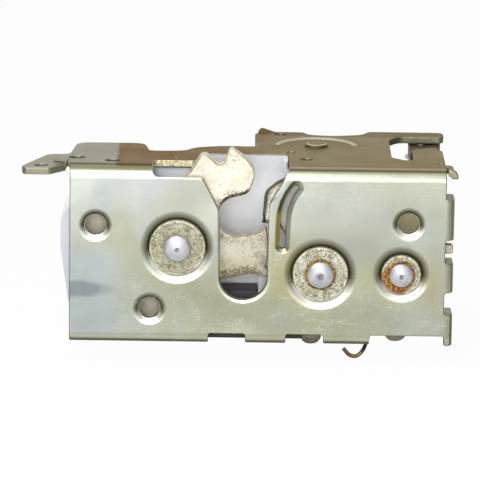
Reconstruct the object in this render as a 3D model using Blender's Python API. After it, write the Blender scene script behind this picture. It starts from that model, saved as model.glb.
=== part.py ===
# Car door lock: a pressed steel face plate and side plate in one folded piece, with the
# rotating fork and pawl behind the throat, a moulded housing, three studs and the levers.
#
# Metres, +Z up. The front face lies at Y = 0 and looks along -Y, +X is to the right as one
# faces it, and the origin lies on that face, on the throat's centreline, a little below
# the round bottom of the throat.

import math

import bmesh
import bpy
from mathutils import Vector
from mathutils.geometry import delaunay_2d_cdt

# Sheet metal of the latch plate.
SHEET = 0.0020
PLATE_LEFT = -0.0486
PLATE_RIGHT = 0.0559
FACE_BOTTOM = -0.0046
FACE_TOP = 0.03895
TOP_BEND = 0.0039
FLANGE_BEND = 0.0024
LIP_BEND = 0.0030
LIP_DEPTH = 0.0090
FLANGE_DEPTH = 0.0120
BEND_STEPS = 5

# Gap left between pieces that touch or seat on each other.
SEAT_GAP = 0.0003
RUNNING_GAP = 0.00035

# Throat that the striker enters, and the notch above it through the bend.
THROAT_HALF = 0.00665
THROAT_ROUND_Z = 0.0118
THROAT_KNEE_Z = 0.0322
NOTCH_LEFT = -0.0258
NOTCH_RIGHT = 0.0122
NOTCH_FACE_Z = 0.0396
NOTCH_BACK = 0.0198
NOTCH_CORNER = 0.0014

# Studs: places on the face, and the dished seats that their washers lie in.
FORK_X = -0.0186
FORK_Z = 0.0197
PAWL_X = 0.0213
PAWL_Z = 0.0127
LOCK_X = 0.0438
LOCK_Z = 0.0129
DISH_DEPTH = 0.0012
DISH_WALL = 0.0014
WASHER = 0.0009
FORK_WASHER_R = 0.0077
PAWL_WASHER_R = 0.0076
LOCK_WASHER_R = 0.0054
STUD_HEAD_R = 0.0037
LOCK_HEAD_R = 0.0033
STUD_HEAD = 0.0017
STUD_NECK_R = 0.0030
STUD_SHAFT_R = 0.0040

# Screw holes for fixing to the door, in their dimples.
SCREW_HOLE_R = 0.00275
DIMPLE_FLOOR_R = 0.0034
DIMPLE_TOP_R = 0.0047
DIMPLE_DEPTH = 0.0009
SCREW_PLACES = ((-0.0414, 0.0258), (-0.0262, 0.0023), (0.0456, 0.0272))

# Side plate: how far back its edges lie, its window, its finger beside the window and its ear.
SIDE_LEFT_BACK = 0.0340
SIDE_MIDDLE_BACK = 0.0312
SIDE_REAR = 0.0540
STRIP_BACK = 0.0560
STRIP_FRONT = 0.0490
WINDOW_LEFT = 0.0411
WINDOW_FRONT = 0.0136
WINDOW_WIDTH = 0.0061
FINGER_BACK = 0.0335
EAR_REACH = 0.0132
EAR_FRONT = -0.0047
EAR_BACK = 0.0157
FOLD_TAB_FRONT = -0.0002
FOLD_TAB_BACK = 0.0070
FOLD_TAB_RIGHT = 0.0032
FOLD_TAB_DROP = 0.0005
FOLD_BEND = 0.0022

# Mechanism layers, measured back from the face.
MECHANISM_THICK = 0.0045
OVERMOULD_THICK = 0.0010
HOUSING_FRONT = 0.0025
HOUSING_BACK = 0.0245
HOUSING_LEFT = -0.0480
HOUSING_BULGE = 0.0032
HOUSING_RIGHT = 0.0345
HOUSING_BOTTOM = -0.0050
CAVITY_WALL = 0.0018
STRIKER_DEPTH = 0.0180
REAR_PLATE = 0.0015

# Fork: radii from its stud, and the mouth that holds the striker.
FORK_HUB_R = 0.0112
FORK_JAW_R = 0.0253
FORK_MOUTH_R = 0.0057
JAW_DEPTH = 0.0085
FORK_MOUTH_OUT = FORK_JAW_R - JAW_DEPTH
FORK_MOUTH_UP = 0.0083

# Pawl: its nose stands just outside the path of the fork's lower jaw.
PAWL_PIN_R = 0.0020
PAWL_PIN_IN = 0.0043
PAWL_PIN_UP = 0.0199
PAWL_PIN_END = 0.0470
LOW_ARM = 0.0180
LOW_ARM_R = 0.00265
LOCK_LOW_ARM = 0.0164
LOCK_LOW_R = 0.0034

# Levers below the side plate.
LEVER = 0.0025
LEVER_DROP = 0.0006
RELEASE_X = 0.0201
RELEASE_Y = 0.0316
ROD_OUT = 0.0149
ROD_BACK = 0.0140
INSIDE_X = 0.0505
INSIDE_Y = 0.0525
INSIDE_LENGTH = 0.0163
INSIDE_ROD = INSIDE_LENGTH - 0.0034
INSIDE_EXTRA = 0.0006
RIVET_R = 0.0025
SPRING_WIRE_R = 0.00055
SPACER_WALL = 0.0014

# Worked out from the sizes above.
PLATE_TOP = FACE_TOP + TOP_BEND
PLATE_UNDER = PLATE_TOP - SHEET
SEAT_BACK = SHEET + DISH_DEPTH
MECHANISM_FRONT = SEAT_BACK + SEAT_GAP
MECHANISM_BACK = MECHANISM_FRONT + MECHANISM_THICK
OVERMOULD_FRONT = MECHANISM_BACK + SEAT_GAP
CAVITY_BACK = OVERMOULD_FRONT + OVERMOULD_THICK + SEAT_GAP
REAR_FRONT = HOUSING_BACK + SEAT_GAP
HOUSING_TOP = PLATE_UNDER - SEAT_GAP
LEVER_TOP = PLATE_UNDER - LEVER_DROP
LEVER_UNDER = LEVER_TOP - LEVER
NOTCH_FORK_BACK = MECHANISM_BACK + 0.0006
PAWL_PIN_X = PAWL_X - PAWL_PIN_IN
PAWL_PIN_Z = PAWL_Z + PAWL_PIN_UP
ROD_X = RELEASE_X + ROD_OUT
ROD_Y = RELEASE_Y + ROD_BACK


# Helpers for outlines.

def arc(x, y, radius, start, end, steps):
    """Points along a circle, from one angle in degrees to another."""
    points = []
    for i in range(steps + 1):
        angle = math.radians(start + (end - start) * i / steps)
        points.append((x + radius * math.cos(angle), y + radius * math.sin(angle)))
    return points


def polar(x, y, radius, angle):
    """A point at a radius and an angle in degrees from a centre."""
    return (x + radius * math.cos(math.radians(angle)), y + radius * math.sin(math.radians(angle)))


def rounded(corners, steps=3):
    """An outline whose corners, given as (x, y, radius), are rounded."""
    outline = []
    for i, (x, y, radius) in enumerate(corners):
        corner = Vector((x, y))
        back = Vector(corners[i - 1][:2]) - corner
        ahead = Vector(corners[(i + 1) % len(corners)][:2]) - corner
        half = back.angle(ahead) / 2
        if radius <= 0 or half > math.radians(89):
            outline.append((x, y))
            continue
        reach = min(radius / math.tan(half), 0.45 * back.length, 0.45 * ahead.length)
        fitted = reach * math.tan(half)
        back.normalize()
        ahead.normalize()
        centre = corner + (back + ahead).normalized() * (fitted / math.sin(half))
        first = corner + back * reach - centre
        turn = first.angle_signed(corner + ahead * reach - centre)
        for k in range(steps + 1):
            angle = -turn * k / steps
            spoke = Vector((first.x * math.cos(angle) - first.y * math.sin(angle),
                            first.x * math.sin(angle) + first.y * math.cos(angle)))
            outline.append(tuple(centre + spoke))
    return outline


def ribbon(path, half, steps=4):
    """The outline of a strip with round ends that follows a path."""
    left, right = [], []
    for i, (x, y) in enumerate(path):
        before = Vector(path[max(i - 1, 0)])
        after = Vector(path[min(i + 1, len(path) - 1)])
        along = (after - before).normalized()
        left.append((x - along.y * half, y + along.x * half))
        right.append((x + along.y * half, y - along.x * half))
    first = Vector(path[1]) - Vector(path[0])
    last = Vector(path[-1]) - Vector(path[-2])
    tail = math.degrees(math.atan2(first.y, first.x))
    nose = math.degrees(math.atan2(last.y, last.x))
    end = arc(path[-1][0], path[-1][1], half, nose - 90, nose + 90, steps)
    start = arc(path[0][0], path[0][1], half, tail + 90, tail + 270, steps)
    return right[:-1] + end + left[-2:0:-1] + start[:-1]


def hull(*circles, steps=8):
    """The outline that a belt would take round circles given as (x, y, radius)."""
    points = []
    for x, y, radius in circles:
        points += arc(x, y, radius, 0, 360 * (1 - 1 / (2 * steps)), 2 * steps - 1)
    points = sorted(set((round(x, 7), round(y, 7)) for x, y in points))

    def chain(ordered):
        side = []
        for p in ordered:
            while len(side) > 1 and ((side[-1][0] - side[-2][0]) * (p[1] - side[-2][1])
                                     <= (side[-1][1] - side[-2][1]) * (p[0] - side[-2][0])):
                side.pop()
            side.append(p)
        return side[:-1]

    return chain(points) + chain(points[::-1])


def inside(x, y, outline):
    """Whether a point lies inside an outline."""
    within = False
    for i, (ax, ay) in enumerate(outline):
        bx, by = outline[i - 1]
        if (ay > y) != (by > y) and x < (bx - ax) * (y - ay) / (by - ay) + ax:
            within = not within
    return within


def to_path(x, y, path):
    """The distance from a point to a path."""
    best = 1.0
    for (ax, ay), (bx, by) in zip(path, path[1:]):
        dx, dy = bx - ax, by - ay
        t = max(0.0, min(1.0, ((x - ax) * dx + (y - ay) * dy) / (dx * dx + dy * dy)))
        best = min(best, math.hypot(x - ax - t * dx, y - ay - t * dy))
    return best


# Helpers for solids.

def triangulate(outline, holes=(), loops=(), lines=()):
    """Triangles of a flat blank with holes; loops and lines become edges of the mesh."""
    points, edges = [], []
    for loop in (outline, *holes, *loops):
        start = len(points)
        points += [Vector(p) for p in loop]
        edges += [(start + i, start + (i + 1) % len(loop)) for i in range(len(loop))]
    for line in lines:
        start = len(points)
        points += [Vector(p) for p in line]
        edges += [(start + i, start + i + 1) for i in range(len(line) - 1)]
    flat, _, faces, _, _, _ = delaunay_2d_cdt(points, edges, [], 0, 1e-7)
    kept = []
    for face in faces:
        x = sum(flat[i].x for i in face) / 3
        y = sum(flat[i].y for i in face) / 3
        if inside(x, y, outline) and not any(inside(x, y, hole) for hole in holes):
            kept.append(tuple(face))
    return [(p.x, p.y) for p in flat], kept


def thicken(flat, faces, front, back):
    """One closed solid from a flat mesh and the places of its two skins."""
    used = sorted({i for face in faces for i in face})
    index = {old: new for new, old in enumerate(used)}
    count = len(used)
    mesh = bmesh.new()
    for place in (front, back):
        for i in used:
            mesh.verts.new(place(*flat[i]))
    mesh.verts.ensure_lookup_table()
    sides = {}
    for face in faces:
        a, b, c = (index[i] for i in face)
        mesh.faces.new([mesh.verts[i] for i in (a, b, c)])
        mesh.faces.new([mesh.verts[i + count] for i in (c, b, a)])
        for edge in ((a, b), (b, c), (c, a)):
            sides[edge] = True
    for a, b in sides:
        if (b, a) not in sides:
            mesh.faces.new([mesh.verts[i] for i in (b, a, a + count, b + count)])
    bmesh.ops.triangulate(mesh, faces=mesh.faces[:])
    bmesh.ops.recalc_face_normals(mesh, faces=mesh.faces[:])
    return mesh


def slab(outline, low, high, axis="Y", holes=()):
    """A flat piece: an outline in the plane across an axis, from low to high along it."""
    flat, faces = triangulate(outline, holes)
    place = {
        "X": lambda depth: lambda u, v: (depth, u, v),
        "Y": lambda depth: lambda u, v: (u, depth, v),
        "Z": lambda depth: lambda u, v: (u, v, depth),
    }[axis]
    return thicken(flat, faces, place(low), place(high))


def turned(profile, u, v, axis="Y", steps=24):
    """A turned solid from a profile of (radius, place along the axis), about (u, v)."""
    mesh = bmesh.new()
    place = {
        "Y": lambda a, b, t: (u + a, t, v + b),
        "Z": lambda a, b, t: (u + a, v + b, t),
    }[axis]
    rings = []
    for radius, along in profile:
        if radius <= 0:
            rings.append([mesh.verts.new(place(0.0, 0.0, along))])
            continue
        rings.append([mesh.verts.new(place(a, b, along))
                      for a, b in arc(0, 0, radius, 0, 360 - 360 / steps, steps - 1)])
    closed = profile[0][0] > 0
    pairs = zip(rings, rings[1:] + rings[:1]) if closed else zip(rings, rings[1:])
    for one, two in pairs:
        for i in range(steps):
            j = (i + 1) % steps
            corners = [one[i % len(one)], one[j % len(one)], two[j % len(two)], two[i % len(two)]]
            mesh.faces.new(list(dict.fromkeys(corners)))
    bmesh.ops.recalc_face_normals(mesh, faces=mesh.faces[:])
    return mesh


def material(name, colour, roughness, metallic):
    """A Principled material with a part's colour and finish."""
    made = bpy.data.materials.new(name)
    made.use_nodes = True
    shader = made.node_tree.nodes["Principled BSDF"]
    shader.inputs["Base Color"].default_value = (*colour, 1.0)
    shader.inputs["Roughness"].default_value = roughness
    shader.inputs["Metallic"].default_value = metallic
    return made


def piece(name, mesh, colour, roughness=0.5, metallic=0.0, origin=(0, 0, 0), smooth=None):
    """An object for one sub-part, with its own material and its origin on its joint's axis."""
    bmesh.ops.translate(mesh, verts=mesh.verts[:], vec=-Vector(origin))
    data = bpy.data.meshes.new(name)
    mesh.to_mesh(data)
    mesh.free()
    if smooth:
        data.shade_smooth()
        data.set_sharp_from_angle(angle=math.radians(smooth))
    made = bpy.data.objects.new(name, data)
    made.location = origin
    made.data.materials.append(material(name, colour, roughness, metallic))
    bpy.context.scene.collection.objects.link(made)
    return made


def shaped(made, mesh, operation):
    """Cuts a mesh from a piece, or joins it on, and drops the tool afterwards."""
    data = bpy.data.meshes.new("tool")
    bmesh.ops.translate(mesh, verts=mesh.verts[:], vec=-made.location)
    mesh.to_mesh(data)
    mesh.free()
    tool = bpy.data.objects.new("tool", data)
    tool.location = made.location
    bpy.context.scene.collection.objects.link(tool)
    change = made.modifiers.new("shape", "BOOLEAN")
    change.object = tool
    change.operation = operation
    change.solver = "EXACT"
    bpy.context.view_layer.update()
    result = bpy.data.meshes.new_from_object(made.evaluated_get(bpy.context.evaluated_depsgraph_get()))
    made.modifiers.remove(change)
    made.data = result
    bpy.data.objects.remove(tool)
    return made


def cut(made, *meshes):
    for mesh in meshes:
        shaped(made, mesh, "DIFFERENCE")
    return made


def join(made, *meshes):
    for mesh in meshes:
        shaped(made, mesh, "UNION")
    return made


def wire(name, path, radius, colour, origin=(0, 0, 0), sides=1):
    """A bent wire: a tube along a path of points."""
    curve = bpy.data.curves.new(name, "CURVE")
    curve.dimensions = "3D"
    curve.bevel_depth = radius
    curve.bevel_resolution = sides
    curve.use_fill_caps = True
    line = curve.splines.new("POLY")
    line.points.add(len(path) - 1)
    for point, place in zip(line.points, path):
        point.co = (*(Vector(place) - Vector(origin)), 1.0)
    made = bpy.data.objects.new(name, curve)
    made.location = origin
    made.data.materials.append(material(name, colour, 0.4, 0.8))
    bpy.context.scene.collection.objects.link(made)
    return made


def smooth_path(corners, steps=4):
    """A smooth run of points through corners in space."""
    spots = [Vector(c) for c in corners]
    path = []
    for i in range(len(spots) - 1):
        a, b = spots[i], spots[i + 1]
        before = spots[i - 1] if i else a * 2 - b
        after = spots[i + 2] if i + 2 < len(spots) else b * 2 - a
        for k in range(steps):
            t = k / steps
            path.append(0.5 * (2 * a + (b - before) * t + (2 * before - 5 * a + 4 * b - after) * t * t
                               + (3 * a - before - 3 * b + after) * t ** 3))
    return path + [spots[-1]]


# Latch plate: one blank, pressed and folded.

TOP_RUN = math.pi / 2 * (TOP_BEND - SHEET / 2)
FLANGE_RUN = math.pi / 2 * (FLANGE_BEND - SHEET / 2)
LIP_RUN = math.pi / 2 * (LIP_BEND - SHEET / 2)
FOLD_RUN = math.pi / 2 * (FOLD_BEND - SHEET / 2)
FOLD_X = PLATE_RIGHT + FOLD_TAB_RIGHT - FOLD_BEND
RELIEF = 0.0004
EAR_ROOT = 0.0009


def side(y):
    """Where a depth of the side plate lies on the flat blank."""
    return FACE_TOP + TOP_RUN + y - TOP_BEND


def folded(start, bend, run, along, depth):
    """Place across and beyond a bend: distance out of the first plane, and along it."""
    if along < run:
        angle = along / run * math.pi / 2
        radius = bend - depth
        return start + radius * math.sin(angle), bend - radius * math.cos(angle)
    return start + bend - depth, bend + along - run


def place_on_plate(u, v, depth):
    """The place in space of a point of the blank, at a depth below its outer skin."""
    if u > FOLD_X and v > FACE_TOP:
        x, drop = folded(FOLD_X, FOLD_BEND, FOLD_RUN, u - FOLD_X, depth)
        return x, v - side(0), PLATE_TOP - drop
    if u < PLATE_LEFT - 1e-5 or (u > PLATE_RIGHT + 1e-5 and v > FACE_TOP):
        return u, v - side(0), PLATE_TOP - depth
    if v > FACE_TOP:
        z, y = folded(FACE_TOP, TOP_BEND, TOP_RUN, v - FACE_TOP, depth)
        return u, y, z
    if u > PLATE_RIGHT:
        x, y = folded(PLATE_RIGHT, FLANGE_BEND, FLANGE_RUN, u - PLATE_RIGHT, depth)
        return x, y, v
    if v < FACE_BOTTOM:
        z, y = folded(-FACE_BOTTOM, LIP_BEND, LIP_RUN, FACE_BOTTOM - v, depth)
        return u, y, -z
    return u, depth, v


LIPS = ((-0.0101, PLATE_LEFT), (0.0009, 0.0115), (0.0227, 0.0349))
FLANGE_TABS = ((-0.0074, 0.0013), (0.0081, 0.0157), (0.0230, 0.0339))


def blank_outline():
    """The outline of the flat blank, from the lower left corner round to the ear."""
    lip = FACE_BOTTOM - LIP_RUN - LIP_DEPTH + LIP_BEND
    flange = PLATE_RIGHT + FLANGE_RUN + FLANGE_DEPTH - FLANGE_BEND
    corners = [(PLATE_LEFT, lip, 0.002)]
    for i, ends in enumerate(LIPS):
        low, high = min(ends), max(ends)
        if i:
            corners += [(low - 0.0004, FACE_BOTTOM, 0.0006), (low, lip, 0.0014)]
        corners += [(high, lip, 0.0014), (high + 0.0004, FACE_BOTTOM, 0.0006)]
    for i, (low, high) in enumerate(FLANGE_TABS):
        if i:
            corners += [(PLATE_RIGHT, low - 0.0004, 0.0006), (flange, low, 0.0014)]
        else:
            corners += [(PLATE_RIGHT, FACE_BOTTOM, 0.0004), (PLATE_RIGHT + 0.0002, low, 0.0004),
                        (flange, low, 0.0014)]
        corners += [(flange, high, 0.0014), (PLATE_RIGHT, high + 0.0004, 0.0006)]
    return rounded(corners + right_edge() + rear_edge() + left_edge())


def right_edge():
    """The side plate's right edge, from the fold-down tab to the window."""
    tab = FOLD_X + FOLD_RUN + FOLD_TAB_DROP
    edge = PLATE_RIGHT - 0.0001
    finger = WINDOW_LEFT + WINDOW_WIDTH
    relief = side(TOP_BEND + 0.0005)
    return [
        (PLATE_RIGHT, relief, 0.0002), (PLATE_RIGHT + RELIEF, relief, 0.0002),
        (PLATE_RIGHT + RELIEF, side(FOLD_TAB_FRONT), 0.0002), (tab, side(FOLD_TAB_FRONT), 0.0006),
        (tab, side(FOLD_TAB_FRONT + 0.0012), 0.0005),
        (FOLD_X + 0.0006, side(FOLD_TAB_FRONT + 0.0020), 0.0005),
        (FOLD_X + 0.0006, side(FOLD_TAB_BACK - 0.0004), 0.0010), (edge, side(FOLD_TAB_BACK), 0.0004),
        (edge, side(FINGER_BACK - 0.0053), 0.0006), (edge - 0.0013, side(FINGER_BACK - 0.0051), 0.0004),
        (edge - 0.0015, side(FINGER_BACK), 0.0010), (finger + 0.0002, side(FINGER_BACK - 0.0040), 0.0008),
        (finger, side(WINDOW_FRONT), 0.0010), (WINDOW_LEFT + 0.0035, side(WINDOW_FRONT), 0.0015),
        (WINDOW_LEFT, side(WINDOW_FRONT + 0.0039), 0.0025),
        (WINDOW_LEFT, side(STRIP_FRONT - 0.0050), 0.0040),
        (WINDOW_LEFT + 0.0029, side(STRIP_FRONT), 0.0025),
    ]


def rear_edge():
    """The side plate's rear edge, from the strip past the release lever to the left."""
    strip = PLATE_RIGHT + 0.0011
    hump = SIDE_REAR - 0.0040
    left = RELEASE_X - 0.0174
    return [
        (strip, side(STRIP_FRONT), 0.0018), (strip, side(STRIP_BACK), 0.0018),
        (WINDOW_LEFT - 0.0057, side(STRIP_BACK), 0.0015), (WINDOW_LEFT - 0.0077, side(hump + 0.0010), 0.0050),
        (RELEASE_X + 0.0049, side(hump - 0.0012), 0.0200), (RELEASE_X - 0.0016, side(hump), 0.0050),
        (RELEASE_X - 0.0035, side(SIDE_REAR), 0.0015), (left + 0.0017, side(SIDE_REAR), 0.0012),
        (left, side(SIDE_REAR - 0.0035), 0.0015), (left, side(SIDE_REAR - 0.0140), 0.0015),
        (left + 0.0012, side(SIDE_REAR - 0.0180), 0.0010), (left + 0.0009, side(SIDE_MIDDLE_BACK), 0.0015),
    ]


def left_edge():
    """The side plate's rear edge behind the notch, its left part and the ear."""
    waist = NOTCH_BACK + 0.0028
    ear = PLATE_LEFT - EAR_REACH
    root = side(TOP_BEND + 0.0009)
    return [
        (-0.0070, side(SIDE_MIDDLE_BACK), 0.0100), (-0.0142, side(SIDE_MIDDLE_BACK - 0.0027), 0.0040),
        (-0.0172, side(waist + 0.0008), 0.0040), (NOTCH_LEFT - 0.0012, side(waist), 0.0020),
        (NOTCH_LEFT - 0.0026, side(SIDE_LEFT_BACK), 0.0036),
        (PLATE_LEFT + 0.0008, side(SIDE_LEFT_BACK), 0.0040),
        (PLATE_LEFT - 0.0006, side(EAR_BACK + 0.0003), 0.0025), (PLATE_LEFT - 0.0066, side(EAR_BACK), 0.0030),
        (ear + 0.0020, side(EAR_FRONT + 0.0082), 0.0060), (ear, side(EAR_FRONT + 0.0025), 0.0016),
        (ear + 0.0007, side(EAR_FRONT), 0.0010), (ear + 0.0079, side(EAR_FRONT), 0.0016),
        (PLATE_LEFT - EAR_ROOT, side(EAR_FRONT + 0.0059), 0.0010),
        (PLATE_LEFT - EAR_ROOT, root, 0.0003), (PLATE_LEFT, root, 0.0003),
    ]


def throat_outline():
    """The throat and the notch above it, cut through the face, the bend and the side plate."""
    left, right = -THROAT_HALF - 0.0002, THROAT_HALF - 0.0002
    bottom = arc(-0.0002, THROAT_ROUND_Z, THROAT_HALF, 180, 360, 10)
    above = rounded([
        (right + 0.0003, THROAT_KNEE_Z, 0.0030), (NOTCH_RIGHT, FACE_TOP + 0.0028, 0.0020),
        (NOTCH_RIGHT - 0.0002, side(NOTCH_BACK), NOTCH_CORNER),
        (-0.0128, side(NOTCH_BACK), NOTCH_CORNER),
        (-0.0134, side(NOTCH_FORK_BACK), NOTCH_CORNER),
        (NOTCH_LEFT, side(NOTCH_FORK_BACK), NOTCH_CORNER),
        (NOTCH_LEFT + 0.0003, NOTCH_FACE_Z, 0.0014),
        (-0.0118, NOTCH_FACE_Z, 0.0010), (left - 0.0002, THROAT_KNEE_Z - 0.0018, 0.0040),
        (left, THROAT_ROUND_Z, 0), (right, THROAT_ROUND_Z, 0),
    ])
    return bottom[1:-1] + above[:-2] + [bottom[0]]


SLOT_PATH = [(0.0106, 0.0206), (0.0107, 0.0258), (0.0109, 0.0296), (0.0117, 0.0326),
             (0.0129, 0.0351), (0.0143, 0.0371)]
SLOT_HALF = 0.00085
SLOT_RIM = 0.0011
SLOT_DRAW = 0.0008
BOSS_R = 0.0036
BOSS_RISE = 0.0010
RIB_R = 0.0113
RIB_HALF = 0.0009
RIB_RISE = 0.0006

SEATS = (
    (FORK_X, FORK_Z, FORK_WASHER_R + 0.0004), (PAWL_X, PAWL_Z, PAWL_WASHER_R + 0.0004),
    (LOCK_X, LOCK_Z, LOCK_WASHER_R + 0.0004),
)
SIDE_HOLES = (
    (PLATE_LEFT + 0.0016, 0.0117, 0.0023), (PLATE_LEFT + 0.0116, 0.0078, 0.0021),
    (PLATE_LEFT - 0.0079, EAR_FRONT + 0.0042, 0.0019), (PLATE_LEFT + 0.0006, EAR_BACK + 0.0015, 0.0005),
    (NOTCH_RIGHT + 0.0050, 0.0128, 0.0018), (NOTCH_RIGHT + 0.0006, 0.0231, 0.0013),
    (RELEASE_X - 0.0101, SIDE_REAR - 0.0035, 0.0018), (NOTCH_LEFT + 0.0063, 0.0130, 0.0011),
    (PLATE_RIGHT - 0.0014, 0.0088, 0.0008),
)
CURL_RIGHT = 0.0085
CURL_FRONT = 0.0515
CURL_RISE = 0.0011
PAD_X = PLATE_LEFT - 0.0024
PAD_Y = 0.0040
PAD_HALF_X = 0.0017
PAD_HALF_Y = 0.0027
PAD_RISE = 0.0007
PAD_WALL = 0.0006


def rib_path():
    return [(x, side(0) + y) for x, y in arc(RELEASE_X, RELEASE_Y, RIB_R, 12, 168, 12)]


def pressed(u, v):
    """How far the press pushes the sheet in at a point of the blank."""
    for x, z, floor in SEATS:
        d = math.hypot(u - x, v - z)
        if d < floor + DISH_WALL:
            t = min(1.0, max(0.0, (floor + DISH_WALL - d) / DISH_WALL))
            return DISH_DEPTH * t * t * (3 - 2 * t)
    for x, z in SCREW_PLACES:
        d = math.hypot(u - x, v - z)
        if d < DIMPLE_TOP_R:
            t = min(1.0, (DIMPLE_TOP_R - d) / (DIMPLE_TOP_R - DIMPLE_FLOOR_R))
            return DIMPLE_DEPTH * t
    if v < FACE_TOP:
        d = to_path(u, v, SLOT_PATH) - SLOT_HALF
        if d < SLOT_RIM:
            return SLOT_DRAW * (1 - max(d, 0.0) / SLOT_RIM)
        return 0.0
    out = max(abs(u - PAD_X) - PAD_HALF_X, abs(v - side(PAD_Y)) - PAD_HALF_Y)
    if out < PAD_WALL:
        return -PAD_RISE * min(1.0, (PAD_WALL - out) / PAD_WALL)
    if u < CURL_RIGHT and v > side(CURL_FRONT):
        return -CURL_RISE * min(1.0, (v - side(CURL_FRONT)) / 0.0020)
    d = math.hypot(u - RELEASE_X, v - side(RELEASE_Y))
    if d < BOSS_R:
        return -BOSS_RISE * min(1.0, (BOSS_R - d) / 0.0009)
    d = to_path(u, v, rib_path())
    if d < RIB_HALF:
        return -RIB_RISE * math.cos(d / RIB_HALF * math.pi / 2)
    return 0.0


def latch_plate():
    holes = [throat_outline(), ribbon(SLOT_PATH, SLOT_HALF)]
    loops = [ribbon(SLOT_PATH, SLOT_HALF + SLOT_RIM)]
    for x, z, floor in SEATS:
        holes.append(arc(x, z, STUD_NECK_R + SEAT_GAP, 0, 345, 23))
        loops += [arc(x, z, floor + DISH_WALL * t, 0, 348.75, 31) for t in (0, 0.35, 0.65, 1)]
    for x, z in SCREW_PLACES:
        holes.append(arc(x, z, SCREW_HOLE_R, 0, 342, 19))
        loops += [arc(x, z, r, 0, 342, 19) for r in (DIMPLE_FLOOR_R, DIMPLE_TOP_R)]
    for x, y, radius in SIDE_HOLES:
        holes.append(arc(x, side(y), radius, 0, 337.5, 15))
    loops += [arc(RELEASE_X, side(RELEASE_Y), r, 0, 345, 23) for r in (BOSS_R, BOSS_R - 0.0009)]
    loops.append(ribbon(rib_path(), RIB_HALF))
    for wall in (0, PAD_WALL):
        left, right = PAD_X - PAD_HALF_X - wall, PAD_X + PAD_HALF_X + wall
        front, back = side(PAD_Y) - PAD_HALF_Y - wall, side(PAD_Y) + PAD_HALF_Y + wall
        loops.append([(left, front), (right, front), (right, back), (left, back)])
    reach = 0.0003
    curl = side(CURL_FRONT)
    lines = [rib_path(), [(CURL_RIGHT, SIDE_REAR + curl - CURL_FRONT + reach), (CURL_RIGHT, curl)],
             [(RELEASE_X - 0.0174 - reach, curl), (CURL_RIGHT, curl)]]
    for i in range(BEND_STEPS + 1):
        v = FACE_TOP + TOP_RUN * i / BEND_STEPS
        lines.append([(PLATE_LEFT - reach, v), (PLATE_RIGHT + reach, v)])
        v = FACE_BOTTOM - LIP_RUN * i / BEND_STEPS
        lines.append([(PLATE_LEFT - reach, v), (LIPS[-1][1] + reach, v)])
        u = PLATE_RIGHT + FLANGE_RUN * i / BEND_STEPS
        lines.append([(u, FLANGE_TABS[0][0] - reach), (u, FLANGE_TABS[-1][1] + reach)])
        u = FOLD_X + FOLD_RUN * i / BEND_STEPS
        lines.append([(u, side(FOLD_TAB_FRONT) - reach), (u, side(FOLD_TAB_BACK) + reach)])
    flat, faces = triangulate(blank_outline(), holes, loops, lines)
    mesh = thicken(flat, faces,
                   lambda u, v: place_on_plate(u, v, pressed(u, v)),
                   lambda u, v: place_on_plate(u, v, pressed(u, v) + SHEET))
    return piece("latch_plate", mesh, (0.66, 0.67, 0.57), 0.35, 0.9, smooth=30)


# Studs and washers.

def stud(name, x, z, head_r, tail):
    """A stepped stud: domed head, neck through washer and sheet, shaft, riveted tail."""
    washer_front = DISH_DEPTH - SEAT_GAP - WASHER
    face = washer_front - SEAT_GAP
    dome = [(head_r * math.sin(a), face - STUD_HEAD * (0.35 + 0.65 * math.cos(a)))
            for a in (math.radians(d) for d in (12, 36, 63, 90))]
    mark = [(0, dome[0][1] + 0.0003)]
    body = [(head_r, face), (STUD_NECK_R, face), (STUD_NECK_R, SEAT_BACK + SEAT_GAP),
            (STUD_SHAFT_R, SEAT_BACK + SEAT_GAP), (STUD_SHAFT_R, tail - SEAT_GAP)]
    end = [(STUD_NECK_R, tail - SEAT_GAP), (STUD_NECK_R, tail + REAR_PLATE + SEAT_GAP),
           (STUD_SHAFT_R + 0.0004, tail + REAR_PLATE + SEAT_GAP),
           (STUD_SHAFT_R, tail + REAR_PLATE + 0.0011), (0.0022, tail + REAR_PLATE + 0.0016),
           (0, tail + REAR_PLATE + 0.0016)]
    mesh = turned(mark + dome + body + end, x, z, steps=20)
    return piece(name, mesh, (0.78, 0.78, 0.74), 0.25, 1.0, (x, 0, z), smooth=35)


def washer(name, x, z, radius):
    front = DISH_DEPTH - SEAT_GAP - WASHER
    bore = STUD_NECK_R + SEAT_GAP
    chamfer = 0.0002
    profile = [(bore, front), (radius - chamfer, front), (radius, front + chamfer),
               (radius, front + WASHER), (bore, front + WASHER)]
    mesh = turned(profile, x, z, steps=36)
    return piece(name, mesh, (0.62, 0.58, 0.45), 0.6, 0.7, (x, 0, z), smooth=35)


# Fork and pawl.

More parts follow.
